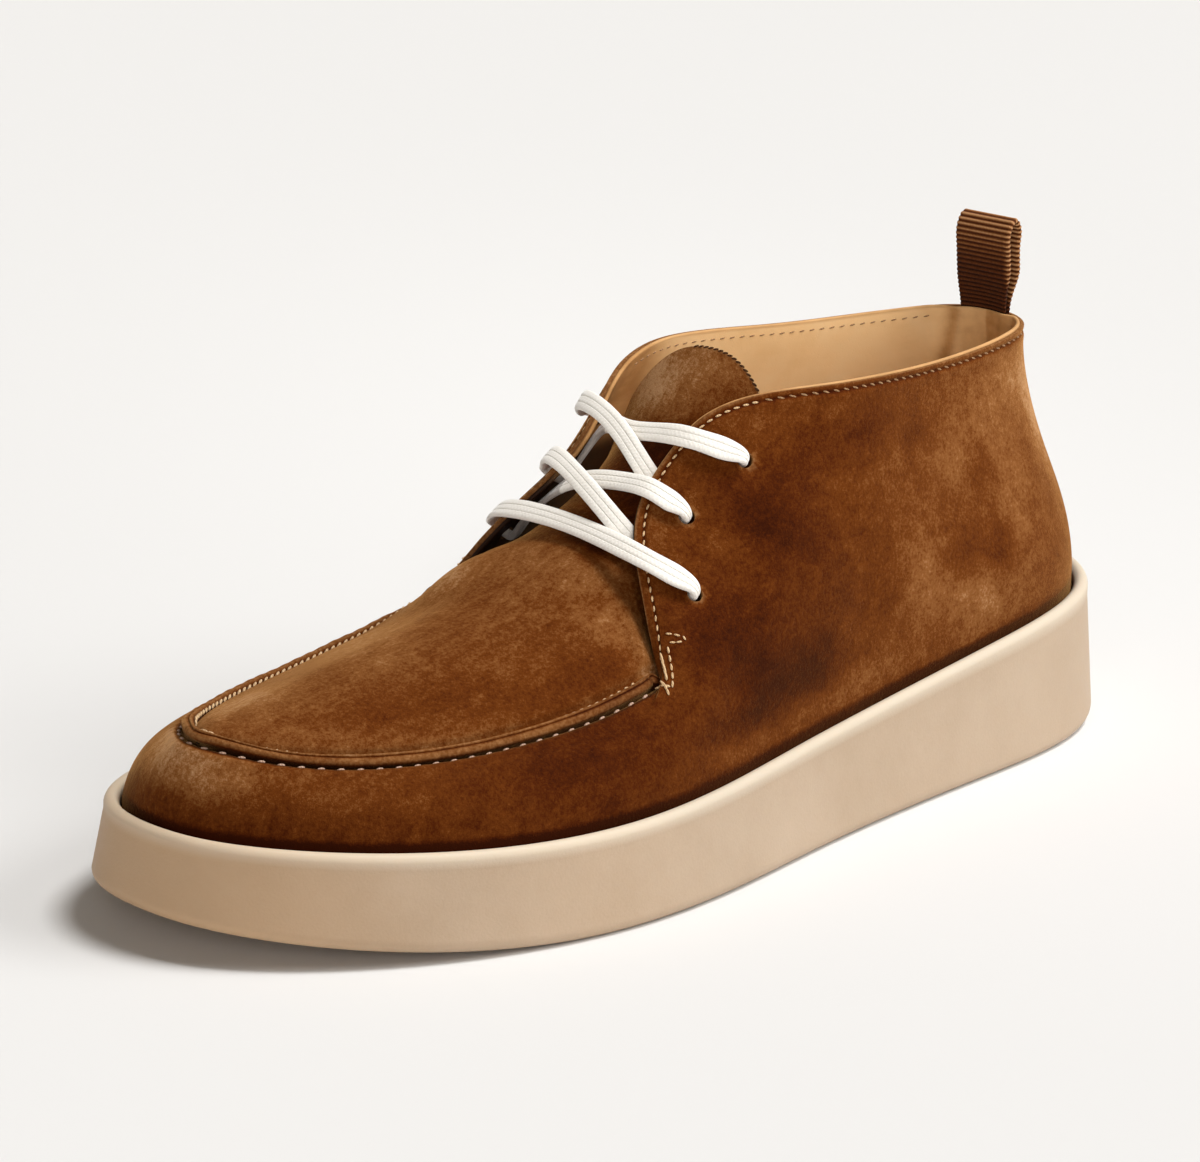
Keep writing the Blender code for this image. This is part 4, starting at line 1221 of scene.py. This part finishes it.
def make_loop(finishes):
    """A loop of ribbed webbing, its two ends sewn between the suede and the lining."""
    run = running_length(np.array(LOOP_SIDE))
    places = smooth_curve(run, LOOP_SIDE)(np.linspace(0, run[-1], 640))
    run = running_length(places)
    ahead = unit(np.gradient(places, axis=0))
    normal = np.column_stack([-ahead[:, 1], ahead[:, 0]])
    foot = 1 - ease(places[:, 1], 101, 114)
    width, middle = (above + (below - above) * foot for above, below in (LOOP_WIDTH, LOOP_MIDDLE))
    half = (1.1 - 0.35 * foot) / 2 + 0.17 * np.cos(2 * np.pi * run / RIB)
    across = np.array([1, 0.985, 0.95, 0.8, 0.5, 0.2, -0.2, -0.5, -0.8, -0.95, -0.985, -1])
    edge = np.array([0.35, 0.8, 1.05, 1, 1, 1, 1, 1, 1, 1.05, 0.8, 0.35])
    rings = []
    for sign in (1, -1):
        x = middle[:, None] + width[:, None] / 2 * across[None, ::sign]
        twist = (1 - foot)[:, None] * (x - LOOP_MIDDLE[0]) * math.tan(LOOP_TURN)
        curl = foot[:, None] * COLLAR_ROUND * ((x + 3.0) ** 2 - 2.0)
        reach = sign * half[:, None] * edge[None, ::sign]
        y = places[:, :1] + normal[:, :1] * reach + twist - curl
        z = places[:, 1:] + normal[:, 1:] * reach
        rings.append(np.stack(np.broadcast_arrays(x, y, z), axis=-1))
    ring = capped(np.concatenate([*rings, rings[0][:, :1]], axis=1))
    length = running_length(ring.mean(axis=1))
    along = np.stack(np.broadcast_arrays(length[:, None], ring[..., 0]), axis=-1) * MM
    # painted light and shade: the rib mark is light on each rib's crest and dark in its groove, and the high mark
    # is light near the top, on the leg behind and at the edges
    rib = 0.5 + 0.5 * np.cos(2 * np.pi * run / RIB)
    rib = np.concatenate([rib[:1], rib, rib[-1:]])[:, None]
    behind = (np.arange(len(ring)) < len(ring) * 0.5)[:, None] * ease(ring[..., 2], 103, 108)
    selvedge = ease(ring[..., 0], 2.1, 2.8)
    high = np.maximum(ease(ring[..., 2], 112, 127), np.maximum(behind, selvedge))
    mesh = grid_mesh(ring, along, rib=rib, high=high)
    piece("grosgrain_loop", mesh, finishes["webbing"], "brown_grosgrain", "heel_loop", sharp=50)


# ---------------------------------------------------------------- thread
def sew(name, bars, finish, slot="cream_cotton"):
    """Many short bars of thread: each a place, its direction, the direction it stands up in, and its size."""
    way, around = np.linspace(0, np.pi, 7)[:, None], np.linspace(0, 2 * np.pi, 9)
    ball = [np.cos(way), np.sin(way) * np.cos(around), np.sin(way) * np.sin(around)]
    ball = np.stack(np.broadcast_arrays(*ball), axis=-1)
    meshes = []
    for place, ahead, up, length, thick in bars:
        ahead = unit(ahead)
        aside = unit(np.cross(up, ahead))
        size = (length / 2, thick, thick * 0.85)
        meshes.append(grid_mesh(place + ball * size @ np.array([ahead, aside, np.cross(ahead, aside)])))
    piece(name, merged(meshes), finish, slot, sharp=180)


def stitch_bars(line, normals, pitch, length, thick, slant=0.0, lift=0.1, start=0.0, end=0.0):
    """Bars for one row of stitches."""
    directions = np.hstack(frame_along(line, unit(normals)))
    places, directions = spaced(line, directions, pitch, start, end)
    ahead, aside, up = unit(directions.reshape(-1, 3, 3)).transpose(1, 0, 2)
    lean = math.radians(slant)
    way = ahead * math.cos(lean) + aside * math.sin(lean)
    return [(p + n * lift, d, n, length, thick) for p, d, n in zip(places, way, up)]


def surface_line(face, points, side):
    """A line laid on the outer face through a few places, and the directions away from the foot there."""
    points = np.array(points, float)
    run = running_length(points)
    fine = smooth_curve(run, points)(np.linspace(0, run[-1], 40)) if len(points) > 2 else np.linspace(*points, 20)
    return np.array([beside(face, side, point, 0.0) for point in fine]).transpose(1, 0, 2)


CORNER_ROWS = (
    # places, pitch, length and thickness: the second row, the bar it turns into, the whipping and its knot
    (((33.9, -27.4, 55.2), (36.4, -28.7, 51.7), (38.2, -29.9, 49.0), (39.2, -31.0, 47.0)), 2.2, 1.7, 0.30),
    (((32.0, -26.5, 57.4), (33.2, -25.3, 57.3), (34.7, -24.0, 57.0)), 1.9, 1.5, 0.26),
    (((34.9, -23.6, 57.0), (35.6, -23.4, 56.2)), 1.4, 1.1, 0.30),
    (((35.3, -24.2, 55.9), (34.6, -25.6, 55.8), (33.7, -26.7, 55.8)), 1.6, 1.4, 0.26),
    (((33.7, -29.2, 53.4), (35.6, -30.0, 51.0), (37.3, -30.9, 48.8)), 1.2, 2.3, 0.34),
    (((37.0, -32.0, 48.2), (38.3, -32.1, 46.8), (39.0, -32.2, 45.4)), 1.1, 1.7, 0.32),
    (((36.4, -33.4, 47.4), (38.6, -31.2, 47.2)), 1.6, 1.6, 0.34),
)


def make_stitches(finishes, upper, vamp, ridge):
    """Every visible row of thread."""
    plain, normals, count = upper["plain"], upper["normals"], upper["grid"].shape[1]
    stitched = stitch_depth(plain)
    row, away = at_depth(upper["grid"], stitched), unit(at_depth(normals, stitched))
    first = int(np.flatnonzero(plain[0, :QUARTER_COLUMNS, 2] > FACING_FOOT)[-1])
    turn = int(np.argmin(np.abs(plain[0, :first, 1] - FACING_TOP)))
    around = np.concatenate([np.arange(count - turn, count - 1), np.arange(0, turn)])
    collar = stitch_bars(row[around], away[around], COLLAR_PITCH, 2.1, 0.25, slant=-20, lift=0.0)
    sew("collar_stitches", collar, finishes["collar_thread"])
    inside = at_depth(plain, 2.3) - unit(at_depth(normals, 2.3)) * (LINING_START + LINING + 0.05)
    behind = stitch_bars(inside[around], -away[around], COLLAR_PITCH, 1.6, 0.22, slant=10, lift=0.0)
    sew("lining_stitches", behind, finishes["collar_thread"])
    fine = []
    for part in (slice(turn, first), slice(count - first, count - turn)):
        fine += stitch_bars(row[part], away[part], 2.35, 1.55, 0.27, slant=-8, lift=0.08)
    for side in (1, -1):
        for points, pitch, length, thick in CORNER_ROWS:
            line, ups = surface_line(upper["face"], [(side * x, y, z) for x, y, z in points], side)
            fine += stitch_bars(line, ups, pitch, length, thick, lift=0.12)
    sew("quarter_stitches", fine, finishes["thread"])

    toe = np.arange(QUARTER_COLUMNS, count - QUARTER_COLUMNS)
    line, ups = at_depth(upper["grid"], 1.4)[toe], unit(at_depth(normals, 1.4)[toe])
    heavy = stitch_bars(line, ups, SEAM_PITCH, 1.8, 0.40, slant=12, lift=0.10, start=2, end=2)
    sew("apron_seam_stitches", heavy, finishes["seam_thread"])
    line, aside, up = ridge
    sunk = ease(line[:, 0], -20, -14)[:, None]
    inner = line + aside * (2.62 - 0.12 * sunk) + up * (0.95 - 1.75 * sunk)
    keep = slice(11, -11)
    light = stitch_bars(inner[keep], aside[keep], SEAM_PITCH / 2, 1.8, 0.38, slant=28, lift=0.0)
    sew("apron_inner_stitches", light, finishes["thread"])

    shown = int(0.58 * (APRON_ACROSS + 1))
    top, ups = (vamp[part][-1][:shown] for part in ("points", "normals"))
    dark = stitch_bars(top, ups, 1.35, 1.5, 0.34, slant=24, lift=-0.15)
    sew("tongue_edge_stitches", dark, finishes["dark_thread"], "brown_suede")


# ---------------------------------------------------------------- finishes
class Wire:
    """A value in a finish that can be used in sums."""

    def __init__(self, finish, socket):
        self.finish = finish
        self.socket = socket

    def math(self, operation, *values):
        return self.finish.node("Math", {"operation": operation}, dict(enumerate(values)))

    def __add__(self, other):
        return self.math("ADD", self, other)

    def __sub__(self, other):
        return self.math("SUBTRACT", self, other)

    def __rsub__(self, other):
        return self.math("SUBTRACT", other, self)

    def __mul__(self, other):
        return self.math("MULTIPLY", self, other)

    def clamped(self):
        return self.math("MAXIMUM", self.math("MINIMUM", self, 1.0), 0.0)

    def step(self, low, high):
        """0 below low, 1 above high and a soft step between."""
        settings = {"interpolation_type": "SMOOTHSTEP"}
        return self.finish.node("MapRange", settings, {"Value": self, "From Min": low, "From Max": high})

    def sine(self):
        return self.math("SINE", self)

    __radd__ = __add__
    __rmul__ = __mul__


class Finish:
    """A material built from one principled shader."""

    def __init__(self, name, **constants):
        self.material = bpy.data.materials.new(name)
        self.material.use_nodes = True
        self.nodes = self.material.node_tree.nodes
        self.shader = self.nodes["Principled BSDF"]
        for socket, value in constants.items():
            self.shader.inputs[socket.replace("_", " ")].default_value = value

    def node(self, kind, settings=None, values=None, out=0):
        """A node of one kind: its settings, then the values or links of its inputs, then its output or outputs."""
        made = self.nodes.new("ShaderNode" + kind)
        for setting, value in (settings or {}).items():
            if setting == "stops":
                ramp = made.color_ramp
                while len(ramp.elements) < len(value):
                    ramp.elements.new(0.5)
                for element, (position, colour) in zip(ramp.elements, value):
                    element.position = position
                    element.color = (*colour, 1)
            else:
                setattr(made, setting, value)
        for socket, value in (values or {}).items():
            self.feed(made.inputs[socket], value)
        if isinstance(out, tuple):
            return [Wire(self, made.outputs[each]) for each in out]
        return Wire(self, made.outputs[out])

    def feed(self, socket, value):
        if isinstance(value, Wire):
            self.material.node_tree.links.new(value.socket, socket)
        elif isinstance(value, tuple) and len(value) == 3 and len(socket.default_value) == 4:
            socket.default_value = (*value, 1)
        else:
            socket.default_value = value

    def place(self, size=(1, 1, 1), turn=(0, 0, 0)):
        """The point on the boot, stretched and turned."""
        at = self.node("TexCoord", out="Object")
        return self.node("Mapping", {}, {"Vector": at, "Scale": size, "Rotation": turn})

    def strip(self):
        """The point on the piece's own map: how far along it, and how far across."""
        return self.node("SeparateXYZ", {}, {"Vector": self.node("TexCoord", out="UV")}, ("X", "Y"))

    def mark(self, name):
        return self.node("Attribute", {"attribute_name": name}, out="Fac")

    def noise(self, at, scale, detail=3.0, rough=0.55, warp=0.0):
        values = {"Vector": at, "Scale": scale, "Detail": detail, "Roughness": rough, "Distortion": warp}
        return self.node("TexNoise", {}, values)

    def cells(self, at, scale):
        return self.node("TexVoronoi", {}, {"Vector": at, "Scale": scale})

    def ramp(self, value, *stops):
        return self.node("ValToRGB", {"stops": stops}, {"Fac": value})

    def blend(self, share, first, second, mode="MIX"):
        """Two colours mixed: 0, 6, 7 and 2 are the places of a Mix node's colour sockets."""
        return self.node("Mix", {"data_type": "RGBA", "blend_type": mode}, {0: share, 6: first, 7: second}, 2)

    def finished(self, colour, roughness, *reliefs):
        """Feeds the shader. Each relief is a height, the depth it stands for in millimetres and a strength."""
        self.feed(self.shader.inputs["Base Color"], colour)
        self.feed(self.shader.inputs["Roughness"], roughness)
        normal = None
        for height, depth, strength in reliefs:
            values = {"Height": height, "Distance": depth * MM, "Strength": strength}
            if normal:
                values["Normal"] = normal
            normal = self.node("Bump", {}, values)
        if normal:
            self.feed(self.shader.inputs["Normal"], normal)
        return self.material


def suede_finish():
    """Napped suede, light and dark from brushing, with paler cut edges, and light and shade painted in through a
    mark at each point.
    """
    suede = Finish(
        "napped_suede",
        Sheen_Weight=0.55,
        Sheen_Roughness=0.32,
        Sheen_Tint=(0.80, 0.42, 0.14, 1),
        Specular_IOR_Level=0.04,
    )
    at = suede.place()
    blotch = suede.noise(at, 24, 3, 0.55, 0.5)
    cloud = suede.noise(suede.place((1, 1, 0.7), (0.3, 0.2, 0.5)), 85, 4, 0.6, 0.3)
    mottle = suede.noise(suede.place((1, 0.8, 1), (0.2, 0.6, 0.1)), 260, 4, 0.65, 0.2)
    streak = suede.noise(suede.place((1.0, 0.3, 0.3), (0.5, 0.1, 0.25)), 520, 3, 0.6)
    fleck = suede.noise(at, 1100, 3, 0.65)
    fine = suede.noise(at, 3600, 2, 0.6)
    # the mark at each point holds the suede's own light and dark and also painted light and shade
    nap = suede.mark("nap")
    tone = 0.485 + (blotch - 0.5) * 0.18 + (cloud - 0.5) * 0.19 + (mottle - 0.5) * 0.36
    tone = tone + (streak - 0.5) * 0.34 + (fleck - 0.5) * 0.60 + (fine - 0.5) * 0.42 + nap * 0.5
    colour = suede.ramp(
        tone,
        (0.0, (0.030, 0.0045, 0.0003)),
        (0.25, (0.066, 0.0120, 0.0009)),
        (0.50, (0.123, 0.0308, 0.0036)),
        (0.75, (0.230, 0.0880, 0.0240)),
        (1.0, (0.420, 0.2280, 0.1080)),
    )
    raw = suede.mark("raw")
    edge = suede.blend(fleck.step(0.35, 0.7), (0.17, 0.070, 0.022), (0.30, 0.150, 0.060))
    colour = suede.blend(raw.clamped() * 0.7, colour, edge)
    rough = 0.86 + (cloud - 0.5) * 0.15
    fibres = fleck * 0.6 + streak * 0.4
    return suede.finished(colour, rough, (cloud, 0.5, 0.12), (fibres, 0.40, 0.6), (fine, 0.14, 0.8))


def lining_finish(name, light=1.0):
    """Smooth tan leather with fine pores, and painted shade where its shade mark is set."""
    leather = Finish(name, Specular_IOR_Level=0.12)
    at = leather.place()
    cloud = leather.noise(at, 45, 4, 0.55, 0.4)
    grain = leather.noise(leather.place((1, 0.25, 1)), 260, 3, 0.6)
    pores = leather.cells(at, 1500)
    tone = 0.5 + (cloud - 0.5) * 0.9 + (grain - 0.5) * 0.35
    tans = ((0.2, (0.86, 0.525, 0.230)), (0.5, (0.94, 0.610, 0.295)), (0.85, (0.97, 0.680, 0.365)))
    colour = leather.ramp(tone, *((stop, tuple(light * part for part in tan)) for stop, tan in tans))
    shade = leather.mark("shade")
    # painted shade: brown where the shade mark is 1, near black where it is 2
    brown = leather.blend(grain.step(0.3, 0.7), (0.40, 0.195, 0.066), (0.53, 0.280, 0.105))
    colour = leather.blend(shade.clamped(), colour, brown)
    colour = leather.blend((shade - 1).clamped(), colour, (0.022, 0.008, 0.003))
    rough = 0.5 + (cloud - 0.5) * 0.2
    return leather.finished(colour, rough, (pores.step(0.0, 0.35), 0.05, 0.5), (cloud, 0.4, 0.25))


def gum_finish():
    """Pale matte rubber, with a painted highlight along its lip, painted warm shade at the toe and painted shade
    on the +X side towards the heel.
    """
    gum = Finish(
        "pale_gum_rubber",
        Subsurface_Weight=0.12,
        Subsurface_Radius=(0.9, 0.5, 0.3),
        Subsurface_Scale=0.004,
        Specular_IOR_Level=0.35,
    )
    at = gum.place()
    cloud = gum.noise(at, 32, 4, 0.55)
    grain = gum.noise(at, 1600, 3, 0.6)
    dust = gum.noise(at, 420, 3, 0.7)
    colour = gum.ramp(
        0.5 + (cloud - 0.5) * 0.8 + (grain - 0.5) * 0.2 + (dust - 0.5) * 0.2,
        (0.2, (0.450, 0.322, 0.210)),
        (0.5, (0.505, 0.370, 0.253)),
        (0.8, (0.560, 0.420, 0.297)),
    )
    colour = gum.blend(gum.mark("lip") * 0.75, colour, (0.72, 0.62, 0.48))
    colour = gum.blend(gum.mark("worn").clamped() * 0.60, colour, (0.54, 0.31, 0.135))
    colour = gum.blend(gum.mark("far"), colour, (0.91, 0.93, 0.95), "MULTIPLY")
    rough = 0.56 + (dust - 0.5) * 0.25
    return gum.finished(colour, rough, (grain, 0.10, 0.5), (dust, 0.12, 0.25))


WEAVE = 1.15 * MM
WARP = 0.42 * MM


def lace_finish():
    """Woven cotton: a slanting weave on the piece's own map, with painted shade in the groove between its ribs and
    where it lies under the far facing.
    """
    cotton = Finish("woven_cotton", Sheen_Weight=0.5, Sheen_Roughness=0.5, Specular_IOR_Level=0.2)
    along, around = cotton.strip()
    along, around = along * (2 * math.pi / WEAVE), around * (2 * math.pi * 9)
    first, second = (along + around).sine(), (along - around).sine()
    weave = first.math("MAXIMUM", first, second) * 0.5 + 0.5
    fuzz = cotton.noise(cotton.place(), 2200, 3, 0.6)
    cloud = cotton.noise(cotton.place(), 120, 3, 0.5)
    tone = 0.42 + weave * 0.22 + (fuzz - 0.5) * 0.35 + (cloud - 0.5) * 0.35
    colour = cotton.ramp(
        tone, (0.0, (0.80, 0.735, 0.64)), (0.35, (0.92, 0.865, 0.78)), (0.75, (0.95, 0.915, 0.85))
    )
    # painted shade in the groove between the ribs, then under the far facing
    hollow = cotton.mark("groove").clamped() * (fuzz.step(0.35, 0.6) * 0.30 + 0.1)
    colour = cotton.blend(hollow, colour, (0.50, 0.46, 0.38))
    colour = cotton.blend(cotton.mark("dim") * 0.68, colour, (0.20, 0.145, 0.12))
    return cotton.finished(colour, 0.85, (weave, 0.10, 0.6), (fuzz, 0.12, 0.5))


def webbing_finish():
    """Ribbed webbing: warp threads that run over its ribs, with painted light on the rib crests, near the top, on
    the leg behind and at the edges, and painted shade in the grooves.
    """
    webbing = Finish("ribbed_webbing", Sheen_Weight=0.04, Sheen_Roughness=0.4, Specular_IOR_Level=0.08)
    _, across = webbing.strip()
    threads = (across * (2 * math.pi / WARP)).sine() * 0.5 + 0.5
    fuzz = webbing.noise(webbing.place(), 1800, 3, 0.6)
    rib, high = webbing.mark("rib"), webbing.mark("high")
    tone = rib * (0.34 + high * 0.50) + threads * 0.12 + (fuzz - 0.5) * 0.35 + high * 0.18 - 0.02
    colour = webbing.ramp(
        tone,
        (0.0, (0.020, 0.0040, 0.0008)),
        (0.35, (0.085, 0.0220, 0.0050)),
        (0.7, (0.230, 0.0850, 0.0250)),
        (1.0, (0.460, 0.2400, 0.1050)),
    )
    return webbing.finished(colour, 0.7, (threads, 0.08, 0.5), (fuzz, 0.1, 0.4))


def thread_finish(name, dark, light, gloss=0.35):
    """Waxed thread, twisted."""
    thread = Finish(name, Specular_IOR_Level=gloss)
    at = thread.place()
    bands = {"wave_type": "BANDS", "bands_direction": "DIAGONAL"}
    strand = thread.node("TexWave", bands, {"Vector": at, "Scale": 700.0}, "Fac")
    speck = thread.noise(at, 700, 2, 0.5)
    colour = thread.blend(strand * 0.6 + speck * 0.4, dark, light)
    return thread.finished(colour, 0.6, (strand, 0.1, 0.5))


def make_finishes():
    return {
        "suede": suede_finish(),
        "lining": lining_finish("tan_lining_leather"),
        "sock": lining_finish("tan_sock_leather", 0.8),
        "gum": gum_finish(),
        "lace": lace_finish(),
        "webbing": webbing_finish(),
        "thread": thread_finish("tan_thread", (0.44, 0.25, 0.10), (0.78, 0.56, 0.32)),
        "collar_thread": thread_finish("collar_thread", (0.20, 0.095, 0.035), (0.40, 0.24, 0.11)),
        "seam_thread": thread_finish("pale_seam_thread", (0.34, 0.19, 0.12), (0.58, 0.39, 0.29)),
        "dark_thread": thread_finish("dark_thread", (0.030, 0.011, 0.004), (0.075, 0.030, 0.012), 0.05),
    }


# ---------------------------------------------------------------- floor, light and camera
def make_floor():
    bm = bmesh.new()
    bmesh.ops.create_grid(bm, x_segments=60, y_segments=60, size=12)
    for vert in bm.verts:
        vert.co.z = 1.3 * (max(0.0, vert.co.length - 3.0) / 9.0) ** 2 - 0.00002
    mesh = mesh_of(bm)
    pale = Finish("pale_floor", Base_Color=(0.74, 0.735, 0.725, 1), Roughness=0.9, Specular_IOR_Level=0.2)
    mesh.materials.append(pale.material)
    floor = placed("floor", mesh)


def light(name, kind, power, place, aim=(0, 0, 0), **settings):
    """A light that shines from a place towards its aim."""
    lamp = bpy.data.lights.new(name, kind)
    lamp.energy = power
    for setting, value in settings.items():
        setattr(lamp, setting, value)
    made = placed(name, lamp)
    made.location = place
    made.rotation_euler = (Vector(aim) - Vector(place)).to_track_quat("-Z", "Y").to_euler()


AZIMUTH = math.radians(44.5)
ELEVATION = math.radians(18.0)
ROLL = math.radians(1.8)
DISTANCE = 1.25
LENS = 158.5572
LOOK_FROM = Vector((0, 0, 0.050))       # the camera stands at its distance from here
LOOK_AT = Vector((-0.009, -0.007, 0.056))
TO_RIGHT = Vector((math.cos(AZIMUTH), math.sin(AZIMUTH), 0))
TO_CAMERA = Vector((math.sin(AZIMUTH), -math.cos(AZIMUTH), 0))


def make_studio():
    world = bpy.data.worlds.new("studio")
    bpy.context.scene.world = world
    bpy.context.scene.view_settings.view_transform = "Standard"
    world.use_nodes = True
    around = world.node_tree.nodes["Background"].inputs
    around["Color"].default_value = (1.0, 0.87, 0.72, 1)
    around["Strength"].default_value = 0.15

    def beside_boot(right, front, up):
        return TO_RIGHT * right + TO_CAMERA * front + Vector((0, 0, up))

    light("key", "AREA", 3, beside_boot(1.5, -0.2, 0.9), (0, 0, 0.05), shape="RECTANGLE", size=0.8, size_y=0.8)
    light("daylight", "SUN", 2.45, beside_boot(0.42, -0.12, 1.1), angle=math.radians(18))
    light("from_the_right", "SUN", 1.25, beside_boot(1, 0, 0.75), angle=math.radians(30))
    light("from_the_front", "SUN", 0.90, beside_boot(0, 1, 0.28), angle=math.radians(45))
    spot = {"spot_size": math.radians(12.5), "spot_blend": 1.0, "shadow_soft_size": 0.12}
    light("over_the_collar", "SPOT", 26, beside_boot(0.30, 0.96, 0.744), (-0.010, 0.104, 0.102), **spot)


def make_camera():
    data = bpy.data.cameras.new("camera")
    data.sensor_width = 36
    data.lens = LENS
    data.clip_start = 0.05
    camera = placed("camera", data)
    back = TO_CAMERA * math.cos(ELEVATION) + Vector((0, 0, math.sin(ELEVATION)))
    place = LOOK_FROM + back * DISTANCE
    turn = (LOOK_AT - place).to_track_quat("-Z", "Y").to_matrix() @ Matrix.Rotation(ROLL, 3, "Z")
    camera.matrix_world = Matrix.Translation(place) @ turn.to_4x4()
    bpy.context.scene.camera = camera


# ---------------------------------------------------------------- the boot
finishes = make_finishes()
make_camera()
upper = make_upper(finishes)
make_sole(finishes)
make_insole(finishes)
vamp = make_vamp(finishes)
ridge = make_ridge(finishes, vamp, upper)
make_laces(finishes, upper["face"], upper["seats"])
make_loop(finishes)
make_stitches(finishes, upper, vamp, ridge)
make_floor()
make_studio()
